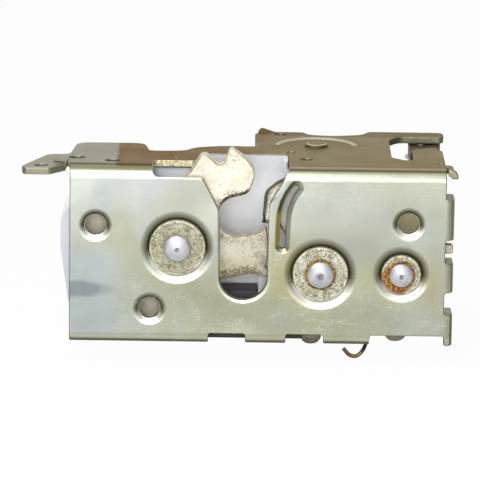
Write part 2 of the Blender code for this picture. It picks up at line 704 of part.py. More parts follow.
def fork():
    """The rotating fork: hub, two teeth with a notch between, upper jaw and lower jaw."""
    def at(radius, angle, fillet):
        return (*polar(FORK_X, FORK_Z, radius, angle), fillet)

    mouth = arc(FORK_X + FORK_MOUTH_OUT, FORK_Z + FORK_MOUTH_UP, FORK_MOUTH_R, 100, 268, 10)
    upper = rounded([
        at(0.0116, 118, 0.006), at(0.0209, 81, 0.003), at(0.0277, 75.5, 0.0016),
        at(0.0249, 61.0, 0.0016), at(0.0314, 62.6, 0.0010), at(0.0312, 51.5, 0.0075),
        at(0.0300, 44.0, 0.0060), at(0.0247, 37.0, 0.0028), (*mouth[0], 0.0008),
    ])
    jaw = rounded([
        (*mouth[-1], 0), at(FORK_JAW_R - 0.0049, 8.4, 0.004), at(FORK_JAW_R - 0.0021, 9.2, 0.002),
        at(FORK_JAW_R, 13.2, 0.0008), at(FORK_JAW_R, 6, 0), at(FORK_JAW_R, 0, 0),
        at(FORK_JAW_R, -7, 0), at(FORK_JAW_R, -13.5, 0.0005), at(FORK_JAW_R + 0.0011, -15.5, 0.0004),
        at(FORK_JAW_R + 0.0010, -19.6, 0.0008), at(FORK_JAW_R - 0.0027, -20.0, 0.006),
        at(FORK_JAW_R - JAW_DEPTH, -33.0, 0.006), at(FORK_HUB_R + 0.0020, -62.5, 0.006),
    ])
    hub = arc(FORK_X, FORK_Z, FORK_HUB_R, 292, 122, 14)
    outline = upper + mouth[1:-1] + jaw + hub
    bore = arc(FORK_X, FORK_Z, STUD_SHAFT_R + RUNNING_GAP, 0, 345, 23)
    mesh = slab(outline, MECHANISM_FRONT, MECHANISM_BACK, holes=[bore])
    return piece("fork", mesh, (0.80, 0.75, 0.60), 0.45, 0.7, (FORK_X, 0, FORK_Z))


def pawl_outline(grow):
    """The pawl: hub, broad arm with the nose and lobe, and the short arm below."""
    def near_fork(radius, angle, fillet):
        return (*polar(FORK_X, FORK_Z, radius, angle), fillet)

    def out(x, z, fillet):
        return (PAWL_X + x + math.copysign(grow, x), PAWL_Z + z, fillet)

    nose_r = FORK_JAW_R + RUNNING_GAP - grow * 0.9
    arm = PAWL_X - 0.0024
    low = PAWL_Z - LOW_ARM - LOW_ARM_R - grow
    corners = [
        near_fork(nose_r, 15.3, 0.0003), near_fork(nose_r, 18.5, 0.001),
        out(-0.0152, 0.0183, 0.003), out(-0.0149, 0.0225, 0.0025),
        (PAWL_X - 0.0108, PAWL_Z + 0.0253 + grow, 0.003), out(-0.0017, 0.0245 + grow, 0.004),
        out(0.0087, 0.0033, 0.008), out(0.0075, -0.0067, 0.008),
        (arm + LOW_ARM_R + 0.0006, PAWL_Z - 0.0157, 0.004), (arm + LOW_ARM_R, low, LOW_ARM_R),
        (arm - LOW_ARM_R, low, LOW_ARM_R), (arm - LOW_ARM_R - 0.0003, PAWL_Z - 0.0157, 0.004),
        out(-0.0083, -0.0047, 0.006), out(-0.0071, 0.0063, 0.006),
        near_fork(FORK_JAW_R + 0.0033, 14.0 - math.degrees(grow / FORK_JAW_R), 0.002),
    ]
    return rounded(corners, 4)


def pawl():
    bore = arc(PAWL_X, PAWL_Z, STUD_SHAFT_R + RUNNING_GAP, 0, 345, 23)
    pin = arc(PAWL_PIN_X, PAWL_PIN_Z, PAWL_PIN_R + 0.0001, 0, 337.5, 15)
    mesh = slab(pawl_outline(0), MECHANISM_FRONT, MECHANISM_BACK, holes=[bore, pin])
    return piece("pawl", mesh, (0.82, 0.78, 0.66), 0.45, 0.7, (PAWL_X, 0, PAWL_Z))


def pawl_overmould():
    """The black skin moulded on the back of the pawl, with the small hook at its nose."""
    bore = arc(PAWL_X, PAWL_Z, STUD_SHAFT_R + RUNNING_GAP, 0, 345, 23)
    pin = arc(PAWL_PIN_X, PAWL_PIN_Z, PAWL_PIN_R + SEAT_GAP, 0, 337.5, 15)
    outline = [p for p in pawl_outline(0.0008) if p[1] > PAWL_Z - 0.0107]
    mesh = slab(outline, OVERMOULD_FRONT - SEAT_GAP + 0.0001, OVERMOULD_FRONT + OVERMOULD_THICK,
                holes=[bore, pin])
    nose_x, nose_z = polar(FORK_X, FORK_Z, FORK_JAW_R + RUNNING_GAP, 15.3)
    hook = rounded([(nose_x - 0.0013, nose_z - 0.0011, 0.0002), (nose_x + 0.0005, nose_z - 0.0010, 0),
                    (nose_x + 0.0011, nose_z + 0.0026, 0), (nose_x - 0.0004, nose_z + 0.0021, 0)])
    made = piece("pawl_overmould", mesh, (0.03, 0.03, 0.03), 0.6, 0.0, (PAWL_X, 0, PAWL_Z))
    return join(made, slab(hook, OVERMOULD_FRONT, OVERMOULD_FRONT + OVERMOULD_THICK - 0.0001))


def pawl_pin():
    """The drive pin riveted in the pawl, which the release lever pushes."""
    start, end = MECHANISM_FRONT + 0.0002, PAWL_PIN_END
    chamfer = 0.0005
    profile = [(0, start), (PAWL_PIN_R, start), (PAWL_PIN_R, end - chamfer),
               (PAWL_PIN_R - chamfer, end), (0, end)]
    mesh = turned(profile, PAWL_PIN_X, PAWL_PIN_Z, steps=16)
    return piece("pawl_pin", mesh, (0.55, 0.55, 0.55), 0.35, 1.0, (PAWL_X, 0, PAWL_Z), smooth=35)


# Housing and what lies in it.

def pin_slot_path():
    x, z = PAWL_PIN_X - PAWL_X, PAWL_PIN_Z - PAWL_Z
    angle = math.degrees(math.atan2(z, x))
    return arc(PAWL_X, PAWL_Z, math.hypot(x, z), angle - 16.5, angle + 1.5, 5)


RECESS_LEFT = -0.0123
RECESS_RIGHT = 0.0107
RECESS_FLOOR = 0.0098
BUFFER_LEFT = -0.0064
BUFFER_RIGHT = 0.0038
BUFFER_TOP = 0.0063
BUFFER_BOTTOM = 0.0036
SPRING_POCKET_R = 0.0056
SPRING_POCKET = 0.0068
SCREW_POCKET_R = 0.0058
SCREW_POCKET = 0.0090
GROOVES = (-0.0385, -0.0280, -0.0050, 0.0040)
GROOVE = 0.0045


def housing():
    top, bottom = HOUSING_TOP, HOUSING_BOTTOM
    bulge = HOUSING_LEFT - HOUSING_BULGE
    shell = rounded([
        (HOUSING_LEFT + 0.002, top, 0.003), (HOUSING_LEFT, 0.0318, 0.003),
        (bulge, 0.0270, 0.003), (bulge, 0.0190, 0.008), (HOUSING_LEFT - 0.0010, 0.0040, 0.006),
        (HOUSING_LEFT + 0.001, bottom, 0.002), (HOUSING_RIGHT, bottom, 0.002),
        (HOUSING_RIGHT, top, 0.003),
    ], 4)
    made = piece("housing", slab(shell, HOUSING_FRONT, HOUSING_BACK), (0.80, 0.80, 0.84), 0.45)
    over = 0.001
    front = HOUSING_FRONT - over
    bend = TOP_BEND + 0.0004
    wedge = [(front, top - bend), (front, top + over), (HOUSING_FRONT + bend, top + over)]
    low = LIP_BEND
    toe = [(front, bottom + low), (HOUSING_FRONT + low, bottom - over), (front, bottom - over)]
    cut(made, slab(wedge, -0.06, 0.05, "X"), slab(toe, -0.06, 0.05, "X"))
    left, right = FORK_X - FORK_HUB_R - 0.0027, HOUSING_RIGHT - CAVITY_WALL
    floor, roof = bottom + 0.0032, top - 0.0020
    arm_left, arm_right = PAWL_X - 0.0103, PAWL_X + 0.0019
    mouth_left, mouth_right = NOTCH_LEFT - 0.0010, NOTCH_RIGHT + 0.0100
    cavity = rounded([
        (left, floor, 0.004), (arm_left, floor, 0.001), (arm_left, bottom - over, 0),
        (arm_right, bottom - over, 0), (arm_right, floor, 0.001), (right, floor, 0.003),
        (right, roof, 0.004), (mouth_right, roof, 0.001), (mouth_right, top + over, 0),
        (mouth_left, top + over, 0), (mouth_left, roof, 0.001), (left, roof, 0.004),
    ], 2)
    cut(made, slab(cavity, front, CAVITY_BACK))
    wall = CAVITY_WALL - SEAT_GAP
    lip_top = PLATE_TOP - SEAT_GAP
    lip = rounded([
        (RECESS_LEFT, CAVITY_BACK, 0), (RECESS_RIGHT, CAVITY_BACK, 0),
        (RECESS_RIGHT + 0.0012, CAVITY_BACK, 0.0006),
        (RECESS_RIGHT + 0.0012, STRIKER_DEPTH + wall, 0.0008),
        (RECESS_LEFT, STRIKER_DEPTH + wall, 0.0008),
    ])
    join(made, slab(lip, top - 0.004, lip_top, "Z"))
    recess = rounded([
        (BUFFER_LEFT - SEAT_GAP, BUFFER_BOTTOM - SEAT_GAP, 0.0005),
        (BUFFER_RIGHT + SEAT_GAP, BUFFER_BOTTOM - SEAT_GAP, 0.0005),
        (BUFFER_RIGHT + SEAT_GAP, RECESS_FLOOR, 0.001), (RECESS_RIGHT, RECESS_FLOOR + 0.0030, 0.002),
        (RECESS_RIGHT, lip_top + over, 0), (RECESS_LEFT + 0.0012, lip_top + over, 0),
        (RECESS_LEFT + 0.0012, RECESS_FLOOR + 0.0030, 0.002), (BUFFER_LEFT - SEAT_GAP, RECESS_FLOOR, 0.001),
    ])
    cut(made, slab(recess, CAVITY_BACK - over, STRIKER_DEPTH))
    for x, z in ((FORK_X, FORK_Z), (PAWL_X, PAWL_Z)):
        depth = CAVITY_BACK + SPRING_POCKET
        hole = STUD_SHAFT_R + RUNNING_GAP
        bore = [(0, front), (SPRING_POCKET_R, front), (SPRING_POCKET_R, depth), (hole, depth),
                (hole, HOUSING_BACK + over), (0, HOUSING_BACK + over)]
        cut(made, turned(bore, x, z))
    for x, z in SCREW_PLACES[:2]:
        pocket = [(0, front), (SCREW_POCKET_R, front), (SCREW_POCKET_R, SCREW_POCKET), (0, SCREW_POCKET)]
        cut(made, turned(pocket, x, z))
    cut(made, slab(ribbon(pin_slot_path(), PAWL_PIN_R + RUNNING_GAP), front, HOUSING_BACK + over))
    for x in GROOVES:
        low, high = bottom + 0.0030, bottom + 0.0065
        groove = [(x, low), (x + GROOVE, low), (x + GROOVE, high), (x, high)]
        cut(made, slab(groove, HOUSING_BACK - 0.006, HOUSING_BACK + over))
    return made


def buffer_pad():
    """The rubber block that stops the striker at the bottom of the throat."""
    front, back = CAVITY_BACK + 0.0004, STRIKER_DEPTH - SEAT_GAP
    profile = rounded([
        (front, BUFFER_BOTTOM, 0.0003), (back, BUFFER_BOTTOM, 0.0003), (back, BUFFER_TOP, 0.0008),
        (front, BUFFER_TOP - 0.0006, 0.0008),
    ])
    mesh = slab(profile, BUFFER_LEFT, BUFFER_RIGHT, "X")
    return piece("buffer_pad", mesh, (0.05, 0.05, 0.055), 0.8)


def rear_plate():
    """The steel plate behind the housing, in which the studs' tails are riveted."""
    middle = (FORK_Z + PAWL_Z) / 2
    screw_x, screw_z = SCREW_PLACES[2]
    outline = hull((FORK_X, FORK_Z, 0.0090), (PAWL_X, PAWL_Z, 0.0088), (LOCK_X, LOCK_Z, 0.0082),
                   (screw_x + 0.0003, screw_z - 0.0052, 0.0062))
    holes = [arc(x, z, STUD_NECK_R + 0.0001, 0, 345, 23)
             for x, z in ((FORK_X, FORK_Z), (PAWL_X, PAWL_Z), (LOCK_X, LOCK_Z))]
    holes.append(hull((-0.004, middle, 0.0032), (0.004, middle, 0.0032)))
    mesh = slab(outline, REAR_FRONT, REAR_FRONT + REAR_PLATE, holes=holes)
    return piece("rear_plate", mesh, (0.62, 0.61, 0.50), 0.4, 0.9)


def coil(x, z, radius, start, end, turns, steps=10):
    """A wire coil about a stud, from one depth to another."""
    count = round(turns * steps)
    return [(x + radius * math.cos(2 * math.pi * i / steps),
             start + (end - start) * i / count,
             z + radius * math.sin(2 * math.pi * i / steps)) for i in range(count + 1)]


def fork_spring():
    front, back = CAVITY_BACK + 0.0009, CAVITY_BACK + SPRING_POCKET - 0.0008
    path = coil(FORK_X, FORK_Z, STUD_SHAFT_R + 0.0008, front, back, 4.0)
    return wire("fork_spring", path, SPRING_WIRE_R, (0.45, 0.42, 0.36), (FORK_X, 0, FORK_Z))


def pawl_spring():
    front, back = CAVITY_BACK + 0.0009, CAVITY_BACK + SPRING_POCKET - 0.0008
    path = coil(PAWL_X, PAWL_Z, STUD_SHAFT_R + 0.0008, front, back, 4.0)
    return wire("pawl_spring", path, SPRING_WIRE_R, (0.45, 0.42, 0.36), (PAWL_X, 0, PAWL_Z))


def lock_spring():
    """The locking lever's spring: a coil on the spacer, whose leg hooks under the bottom lip."""
    radius = STUD_SHAFT_R + SPACER_WALL + SEAT_GAP + SPRING_WIRE_R
    turns, steps, pitch = 3, 12, 0.0014
    rear = LIP_DEPTH + SPRING_WIRE_R + SEAT_GAP
    path = []
    for i in range(turns * steps + 1):
        angle = math.radians(180) + 2 * math.pi * i / steps
        path.append((LOCK_X + radius * math.cos(angle), rear + pitch * (turns - i / steps),
                     LOCK_Z + radius * math.sin(angle)))
    under = FACE_BOTTOM - LIP_BEND
    inner = LIP_DEPTH - 0.0018
    edge = LIPS[-1][1]
    corners = [
        path[-1], (edge + 0.0019, rear, LOCK_Z - 0.0069), (edge + 0.0013, rear, FACE_BOTTOM + 0.0026),
        (edge - 0.0001, rear, under - 0.0008), (edge - 0.0013, inner + 0.0006, under - 0.0032),
        (edge - 0.0031, inner, under - 0.0046), (edge - 0.0050, inner, under - 0.0042),
        (edge - 0.0067, inner, under - 0.0024),
    ]
    return wire("lock_spring", path[:-1] + smooth_path(corners, 3), SPRING_WIRE_R, (0.30, 0.22, 0.12))


# Levers.

def lock_lever():
    """The locking lever on the third stud, with its end in the right flange's notch."""
    def near(x, z, fillet):
        return (LOCK_X + x, LOCK_Z + z, fillet)

    arm = LOCK_X - 0.00135
    low = LOCK_Z - LOCK_LOW_ARM - LOCK_LOW_R
    end = PLATE_RIGHT + 0.0023
    notch = (FLANGE_TABS[1][1] + FLANGE_TABS[2][0]) / 2
    body = rounded([
        (arm - LOCK_LOW_R, low, LOCK_LOW_R), (arm + LOCK_LOW_R, low, LOCK_LOW_R),
        near(0.0024, -0.0089, 0.004),
        near(0.0062, -0.0039, 0.004), near(0.0092, 0.0033, 0.003), (end - 0.0022, notch - 0.0010, 0.001),
        (end, notch - 0.0010, 0.0006), (end, notch + 0.0016, 0.0006), (end - 0.0042, notch + 0.0018, 0.002),
        near(0.0040, 0.0071, 0.004), near(-0.0028, 0.0073, 0.004), near(-0.0070, 0.0021, 0.006),
        near(-0.0066, -0.0039, 0.006), near(-0.0028, -0.0089, 0.004),
    ])
    bore = arc(LOCK_X, LOCK_Z, STUD_SHAFT_R + RUNNING_GAP, 0, 345, 23)
    mesh = slab(body, MECHANISM_FRONT, MECHANISM_FRONT + LEVER, holes=[bore])
    return piece("lock_lever", mesh, (0.75, 0.72, 0.62), 0.45, 0.7, (LOCK_X, 0, LOCK_Z))


def lock_spacer():
    """The tube on the third stud that keeps the locking lever at the face."""
    bore, outer = STUD_SHAFT_R + 0.0002, STUD_SHAFT_R + SPACER_WALL
    start, end = MECHANISM_FRONT + LEVER + SEAT_GAP, REAR_FRONT - SEAT_GAP
    mesh = turned([(bore, start), (outer, start), (outer, end), (bore, end)], LOCK_X, LOCK_Z)
    return piece("lock_spacer", mesh, (0.60, 0.60, 0.58), 0.4, 0.9, smooth=35)


POST_R = 0.0010
POST_X = RELEASE_X + 0.0074
POST_Y = RELEASE_Y + 0.0152
FINE_WIRE_R = 0.0004
SPRING_TURNS = 6
SPRING_STEPS = 8
SPRING_COIL_R = 0.0016
SPRING_Z = LEVER_UNDER - SPRING_COIL_R - FINE_WIRE_R - SEAT_GAP - 0.0002
TAB_FACE_X = PAWL_PIN_X - PAWL_PIN_R - 0.0005
TAB_THICK = 0.0022
TAB_REACH = PAWL_PIN_END + 0.0010
TAB_LENGTH = 0.0075
ROD_HOLE_R = 0.0020


def release_lever():
    """The release lever: hub, arm with the tab that pushes the pawl's pin, and rod arm."""
    left = TAB_FACE_X - TAB_THICK
    outline = rounded([
        (RELEASE_X - 0.0058, RELEASE_Y - 0.0040, 0.005), (RELEASE_X + 0.0062, RELEASE_Y - 0.0062, 0.006),
        (RELEASE_X + 0.0085, RELEASE_Y + 0.0020, 0.004), (ROD_X + 0.0035, ROD_Y - 0.0016, 0.003),
        (ROD_X + 0.0022, ROD_Y + 0.0036, 0.003), (ROD_X - 0.0032, ROD_Y + 0.0022, 0.003),
        (RELEASE_X + 0.0061, RELEASE_Y + 0.0099, 0.004), (RELEASE_X - 0.0011, RELEASE_Y + 0.0099, 0.004),
        (TAB_FACE_X + 0.0006, TAB_REACH, 0.0008), (left, TAB_REACH, 0.0008),
        (left, TAB_REACH - 0.0090, 0.003),
    ])
    bore = arc(RELEASE_X, RELEASE_Y, RIVET_R + RUNNING_GAP, 0, 345, 23)
    rod = arc(ROD_X, ROD_Y, ROD_HOLE_R, 0, 337.5, 15)
    mesh = slab(outline, LEVER_UNDER, LEVER_TOP, "Z", holes=[bore, rod])
    made = piece("release_lever", mesh, (0.66, 0.65, 0.55), 0.4, 0.9, (RELEASE_X, RELEASE_Y, 0))
    front, back = TAB_REACH - TAB_LENGTH, TAB_REACH - 0.0002
    drop, root = PAWL_PIN_Z - PAWL_PIN_R - 0.0010, LEVER_TOP - 0.0005
    tab = rounded([(front, root, 0), (front + 0.0005, drop, 0.0015), (back, drop, 0.0015), (back, root, 0)])
    return join(made, slab(tab, left + 0.0001, TAB_FACE_X, "X"))


def inside_lever():
    """The inside handle's lever, hung below the rear strip of the side plate."""
    def near(x, y, fillet):
        return (INSIDE_X + x, INSIDE_Y + y, fillet)

    outline = rounded([
        near(-0.0035, -INSIDE_LENGTH, 0.002), near(0.0030, -INSIDE_LENGTH, 0.003),
        near(0.0050, -0.0075, 0.004), near(0.0058, 0.0010, 0.005), near(0.0030, 0.0062, 0.005),
        near(-0.0035, 0.0052, 0.004), near(-0.0035, -0.0075, 0.003),
    ])
    bore = arc(INSIDE_X, INSIDE_Y, RIVET_R + RUNNING_GAP, 0, 345, 23)
    rod = arc(INSIDE_X, INSIDE_Y - INSIDE_ROD, ROD_HOLE_R, 0, 337.5, 15)
    mesh = slab(outline, LEVER_UNDER - INSIDE_EXTRA, LEVER_TOP, "Z", holes=[bore, rod])
    return piece("inside_lever", mesh, (0.07, 0.065, 0.06), 0.6, 0.1, (INSIDE_X, INSIDE_Y, 0))


def lever_rivet(name, x, y, top, bottom):
    """A shouldered rivet that hangs a lever below the side plate."""
    low = bottom - SEAT_GAP
    profile = [(0, top), (RIVET_R, top), (RIVET_R, low), (RIVET_R + 0.0020, low),
               (RIVET_R + 0.0020, low - 0.0008), (RIVET_R + 0.0006, low - 0.0015),
               (0, low - 0.0015)]
    mesh = turned(profile, x, y, "Z", 20)
    return piece(name, mesh, (0.70, 0.69, 0.62), 0.3, 1.0, smooth=35)


def rod_clip(name, x, y, top, bottom, origin):
    """A plastic clip that holds a pull rod in a lever's hole."""
    gap = SEAT_GAP
    flange = ROD_HOLE_R + 0.0012
    neck = ROD_HOLE_R - 0.0002
    profile = [(0, bottom - 0.0030), (neck, bottom - 0.0026), (flange, bottom - 0.0018),
               (flange, bottom - gap), (neck, bottom - gap), (neck, top - 0.0001), (0, top - 0.0001)]
    mesh = turned(profile, x, y, "Z", 16)
    return piece(name, mesh, (0.10, 0.25, 0.12), 0.5, 0.0, origin, smooth=35)


def spring_post():
    """The post in the side plate that holds the fixed end of the release lever's spring."""
    top, low = PLATE_UNDER - SEAT_GAP, SPRING_Z - 0.0008
    profile = [(0, top), (POST_R, top), (POST_R, low), (POST_R + 0.0006, low),
               (POST_R + 0.0006, low - 0.0006), (0, low - 0.0006)]
    mesh = turned(profile, POST_X, POST_Y, "Z", 12)
    return piece("spring_post", mesh, (0.70, 0.69, 0.62), 0.3, 1.0, smooth=35)


def release_spring():
    """The tension spring from the post to the underside of the release lever's arm."""
    end = Vector((RELEASE_X + 0.0087, RELEASE_Y + 0.0069, SPRING_Z))
    post = Vector((POST_X, POST_Y, SPRING_Z))
    along = (end - post).normalized()
    across = along.cross(Vector((0, 0, 1)))
    loop = POST_R + FINE_WIRE_R + SEAT_GAP
    path = [post + across * (loop * math.cos(a)) - along * (loop * math.sin(a))
            for a in (math.radians(d) for d in (-30, 15, 60, 105, 150, 195))]
    start = post + along * 0.0026
    length = (end - start).length - 0.0012
    for i in range(SPRING_TURNS * SPRING_STEPS + 1):
        angle = 2 * math.pi * i / SPRING_STEPS
        spoke = across * math.cos(angle) + Vector((0, 0, math.sin(angle)))
        path.append(start + along * (length * i / (SPRING_TURNS * SPRING_STEPS)) + spoke * SPRING_COIL_R)
    path += [end, end + Vector((0, 0, LEVER_UNDER - SPRING_Z - FINE_WIRE_R - SEAT_GAP))]
    return wire("release_spring", path, FINE_WIRE_R, (0.45, 0.42, 0.36), sides=0)


def main():
    for old in list(bpy.data.objects):
        bpy.data.objects.remove(old)
    latch_plate()
    places = (("fork", FORK_X, FORK_Z, FORK_WASHER_R, STUD_HEAD_R),
              ("pawl", PAWL_X, PAWL_Z, PAWL_WASHER_R, STUD_HEAD_R),
              ("lock", LOCK_X, LOCK_Z, LOCK_WASHER_R, LOCK_HEAD_R))
    for name, x, z, radius, head in places:
        stud(name + "_stud", x, z, head, REAR_FRONT)
        washer(name + "_washer", x, z, radius)
    fork()
    pawl()
    pawl_overmould()
    pawl_pin()
    housing()
    buffer_pad()
    rear_plate()
    fork_spring()
    pawl_spring()
    lock_spring()
    lock_lever()
    lock_spacer()
    release_lever()
    inside_lever()
    lever_rivet("release_rivet", RELEASE_X, RELEASE_Y, PLATE_UNDER - SEAT_GAP, LEVER_UNDER)
    lever_rivet("inside_rivet", INSIDE_X, INSIDE_Y, PLATE_UNDER - SEAT_GAP, LEVER_UNDER - INSIDE_EXTRA)
    rod_clip("release_rod_clip", ROD_X, ROD_Y, LEVER_TOP, LEVER_UNDER, (RELEASE_X, RELEASE_Y, 0))
    rod_clip("inside_rod_clip", INSIDE_X, INSIDE_Y - INSIDE_ROD, LEVER_TOP, LEVER_UNDER - INSIDE_EXTRA,
             (INSIDE_X, INSIDE_Y, 0))
    spring_post()
    release_spring()


main()
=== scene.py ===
import math

import bmesh
import bpy
from mathutils import Matrix, Vector
from mathutils.geometry import delaunay_2d_cdt


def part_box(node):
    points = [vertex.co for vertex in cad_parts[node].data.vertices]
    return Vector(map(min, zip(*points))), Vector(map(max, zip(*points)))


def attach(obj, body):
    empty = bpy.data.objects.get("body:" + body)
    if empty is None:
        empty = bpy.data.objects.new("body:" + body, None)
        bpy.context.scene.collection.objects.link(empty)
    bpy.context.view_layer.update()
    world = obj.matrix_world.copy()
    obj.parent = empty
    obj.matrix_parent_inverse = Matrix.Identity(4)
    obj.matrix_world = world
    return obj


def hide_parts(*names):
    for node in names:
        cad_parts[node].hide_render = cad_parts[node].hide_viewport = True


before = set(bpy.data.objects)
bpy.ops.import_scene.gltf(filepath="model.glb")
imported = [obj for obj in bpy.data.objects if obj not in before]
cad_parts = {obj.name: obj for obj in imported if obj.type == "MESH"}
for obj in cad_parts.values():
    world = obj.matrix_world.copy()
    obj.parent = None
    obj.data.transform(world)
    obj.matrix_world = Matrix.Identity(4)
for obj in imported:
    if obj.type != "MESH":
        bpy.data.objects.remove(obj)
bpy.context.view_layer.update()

# The stand and the light.
# The latch is looked at from a little above its face, from far off with a long lens. It hangs
# just clear of a pale floor, in a white room, under a soft top lamp with another one in front.

AIM = Vector((-0.0012, 0.0, 0.0222))
VIEW_DISTANCE = 1.2
VIEW_ELEVATION = math.radians(12.0)
VIEW_ROLL = math.radians(0.8)
VIEW_WIDTH = 0.1333
FLOOR_Z = -0.0135
FLOOR_HALF = 3.0
FLOOR_GLOW = 0.96
ROOM_LIGHT = 0.52
WHITE = (1.0, 1.0, 1.0)


def fill(socket, value):
    """Links an input from another socket, or sets it to a number, a vector or a colour."""
    if isinstance(value, bpy.types.NodeSocket):
        socket.id_data.links.new(value, socket)
    else:
        socket.default_value = (*value, 1.0) if socket.type == "RGBA" else value


def put(tree, kind, inputs=(), **settings):
    """A node with its settings; each input is given as a value or as the socket to link from."""
    made = tree.nodes.new(kind)
    for key, value in settings.items():
        setattr(made, key, value)
    for key, value in dict(inputs).items():
        fill(made.inputs[key], value)
    return made


def calc(operation, *values):
    """A sum on sockets and numbers, in the node tree that the first socket belongs to."""
    tree = next(value.id_data for value in values if isinstance(value, bpy.types.NodeSocket))
    return put(tree, "ShaderNodeMath", enumerate(values), operation=operation).outputs[0]


def greater(first, second):
    return calc("MAXIMUM", first, second)


def seen_directly(tree):
    """1 for rays from the camera, off a shiny surface or through a clear one, and 0 otherwise."""
    rays = put(tree, "ShaderNodeLightPath").outputs
    return greater(greater(rays["Is Camera Ray"], rays["Is Glossy Ray"]), rays["Is Transmission Ray"])


def material(name):
    """A new material, its node tree and the inputs of its Principled shader."""
    made = bpy.data.materials.new(name)
    made.use_nodes = True
    return made, made.node_tree, made.node_tree.nodes["Principled BSDF"].inputs


def stand_camera():
    right = Vector((1, 0, 0))
    up = Vector((0, math.sin(VIEW_ELEVATION), math.cos(VIEW_ELEVATION)))
    back = right.cross(up)
    leaning_right = right * math.cos(VIEW_ROLL) + up * math.sin(VIEW_ROLL)
    leaning_up = up * math.cos(VIEW_ROLL) - right * math.sin(VIEW_ROLL)
    lens = bpy.data.cameras.new("camera")
    lens.sensor_width = 36.0
    lens.lens = lens.sensor_width * VIEW_DISTANCE / VIEW_WIDTH
    lens.clip_start = 0.05
    camera = bpy.data.objects.new("camera", lens)
    turn = Matrix((leaning_right, leaning_up, back)).transposed()
    camera.matrix_world = Matrix.Translation(AIM + back * VIEW_DISTANCE) @ turn.to_4x4()
    bpy.context.scene.collection.objects.link(camera)
    bpy.context.scene.camera = camera


def lamp(name, place, size, power):
    light = bpy.data.lights.new(name, "AREA")
    light.shape = "RECTANGLE"
    light.size, light.size_y = size
    light.energy = power
    made = bpy.data.objects.new(name, light)
    made.location = place
    made.rotation_euler = (AIM - Vector(place)).to_track_quat("-Z", "Y").to_euler()
    bpy.context.scene.collection.objects.link(made)


def stage_sheet(name, corners, look):
    """A flat sheet of the studio, which isn't part of the object."""
    mesh = bpy.data.meshes.new(name)
    mesh.from_pydata(corners, [], [(0, 1, 2, 3)])
    made = bpy.data.objects.new(name, mesh)
    made.data.materials.append(look)
    bpy.context.scene.collection.objects.link(made)
    return made


def room():
    made = bpy.data.worlds.new("room")
    made.use_nodes = True
    tree = made.node_tree
    strength = put(tree, "ShaderNodeMapRange", {"Value": seen_directly(tree), "To Min": ROOM_LIGHT})
    backdrop = tree.nodes["Background"].inputs
    fill(backdrop["Color"], WHITE)
    fill(backdrop["Strength"], strength.outputs[0])
    bpy.context.scene.world = made


def floor_paper():
    """White paper that shows almost white, and keeps a soft shadow."""
    made, tree, paper = material("floor_paper")
    fill(paper["Base Color"], (0.82, 0.82, 0.82))
    fill(paper["Roughness"], 0.9)
    fill(paper["Specular IOR Level"], 0.0)
    glow = put(tree, "ShaderNodeEmission", {"Color": WHITE, "Strength": 1.0})
    share = calc("MULTIPLY", seen_directly(tree), FLOOR_GLOW)
    dull = tree.nodes["Principled BSDF"].outputs[0]
    both = put(tree, "ShaderNodeMixShader", {0: share, 1: dull, 2: glow.outputs[0]})
    fill(tree.nodes["Material Output"].inputs["Surface"], both.outputs[0])
    return made


def dark_card():
    """Dull dark card, which shows only as a reflection in the metal."""
    made, _, dull = material("dark_card")
    fill(dull["Base Color"], (0.05, 0.048, 0.035))
    fill(dull["Roughness"], 1.0)
    return made


def dark_reflection(card):
    """Lets a card show in shiny surfaces only."""
    card.visible_camera = card.visible_diffuse = False
    card.visible_shadow = card.visible_transmission = False


stand_camera()
lamp("top_lamp", (-0.24, -0.46, 0.56), (0.42, 0.30), 3.6)
lamp("front_lamp", (-0.05, -0.95, 0.22), (0.4, 0.4), 3.2)
room()
stage_sheet("floor", [(x * FLOOR_HALF, y * FLOOR_HALF, FLOOR_Z)
                      for x, y in ((-1, -1), (1, -1), (1, 1), (-1, 1))], floor_paper())
CARD_AWAY = 0.22
CARD_TOP = 0.26
CARD_FRONT = -0.30
CARD_BACK = 0.16
card_low = FLOOR_Z + 0.001
card_look = dark_card()
for name, x in (("card_left", -CARD_AWAY), ("card_right", CARD_AWAY)):
    dark_reflection(stage_sheet(name, [(x, CARD_FRONT, card_low), (x, CARD_BACK, card_low),
                                       (x, CARD_BACK, CARD_TOP), (x, CARD_FRONT, CARD_TOP)], card_look))
dark_reflection(stage_sheet("card_below", [(-CARD_AWAY, 0.0, card_low), (CARD_AWAY, 0.0, card_low),
                                           (CARD_AWAY, 0.060, card_low), (-CARD_AWAY, 0.060, card_low)],
                            card_look))
bpy.context.scene.view_settings.view_transform = "Standard"

# Latch plate.
# One blank of 2 mm steel, pressed, folded back along the top, the right side and the bottom,
# and plated with yellow-green chromate. The door's screws hold it, and it carries all else.

SHEET = 0.0020
PLATE_LEFT = -0.0486
PLATE_RIGHT = 0.0559
FACE_BOTTOM = -0.0046
FACE_TOP = 0.03895
TOP_BEND = 0.0039
FLANGE_BEND = 0.0024
LIP_BEND = 0.0030
LIP_DEPTH = 0.0090
FLANGE_DEPTH = 0.0120
BEND_STEPS = 12
SEAT_GAP = 0.0003
THROAT_HALF = 0.00665
THROAT_ROUND_Z = 0.0118
THROAT_KNEE_Z = 0.0322
NOTCH_LEFT = -0.0258
NOTCH_RIGHT = 0.0122
NOTCH_FACE_Z = 0.0396
NOTCH_BACK = 0.0198
NOTCH_CORNER = 0.0014
FORK_X = -0.0186
FORK_Z = 0.0197
PAWL_X = 0.0213
PAWL_Z = 0.0127
LOCK_X = 0.0438
LOCK_Z = 0.0129
DISH_DEPTH = 0.0012
DISH_WALL = 0.0026
WASHER = 0.0009
FORK_WASHER_R = 0.0077
PAWL_WASHER_R = 0.0076
LOCK_WASHER_R = 0.0054
STUD_NECK_R = 0.0030
SCREW_HOLE_R = 0.00275
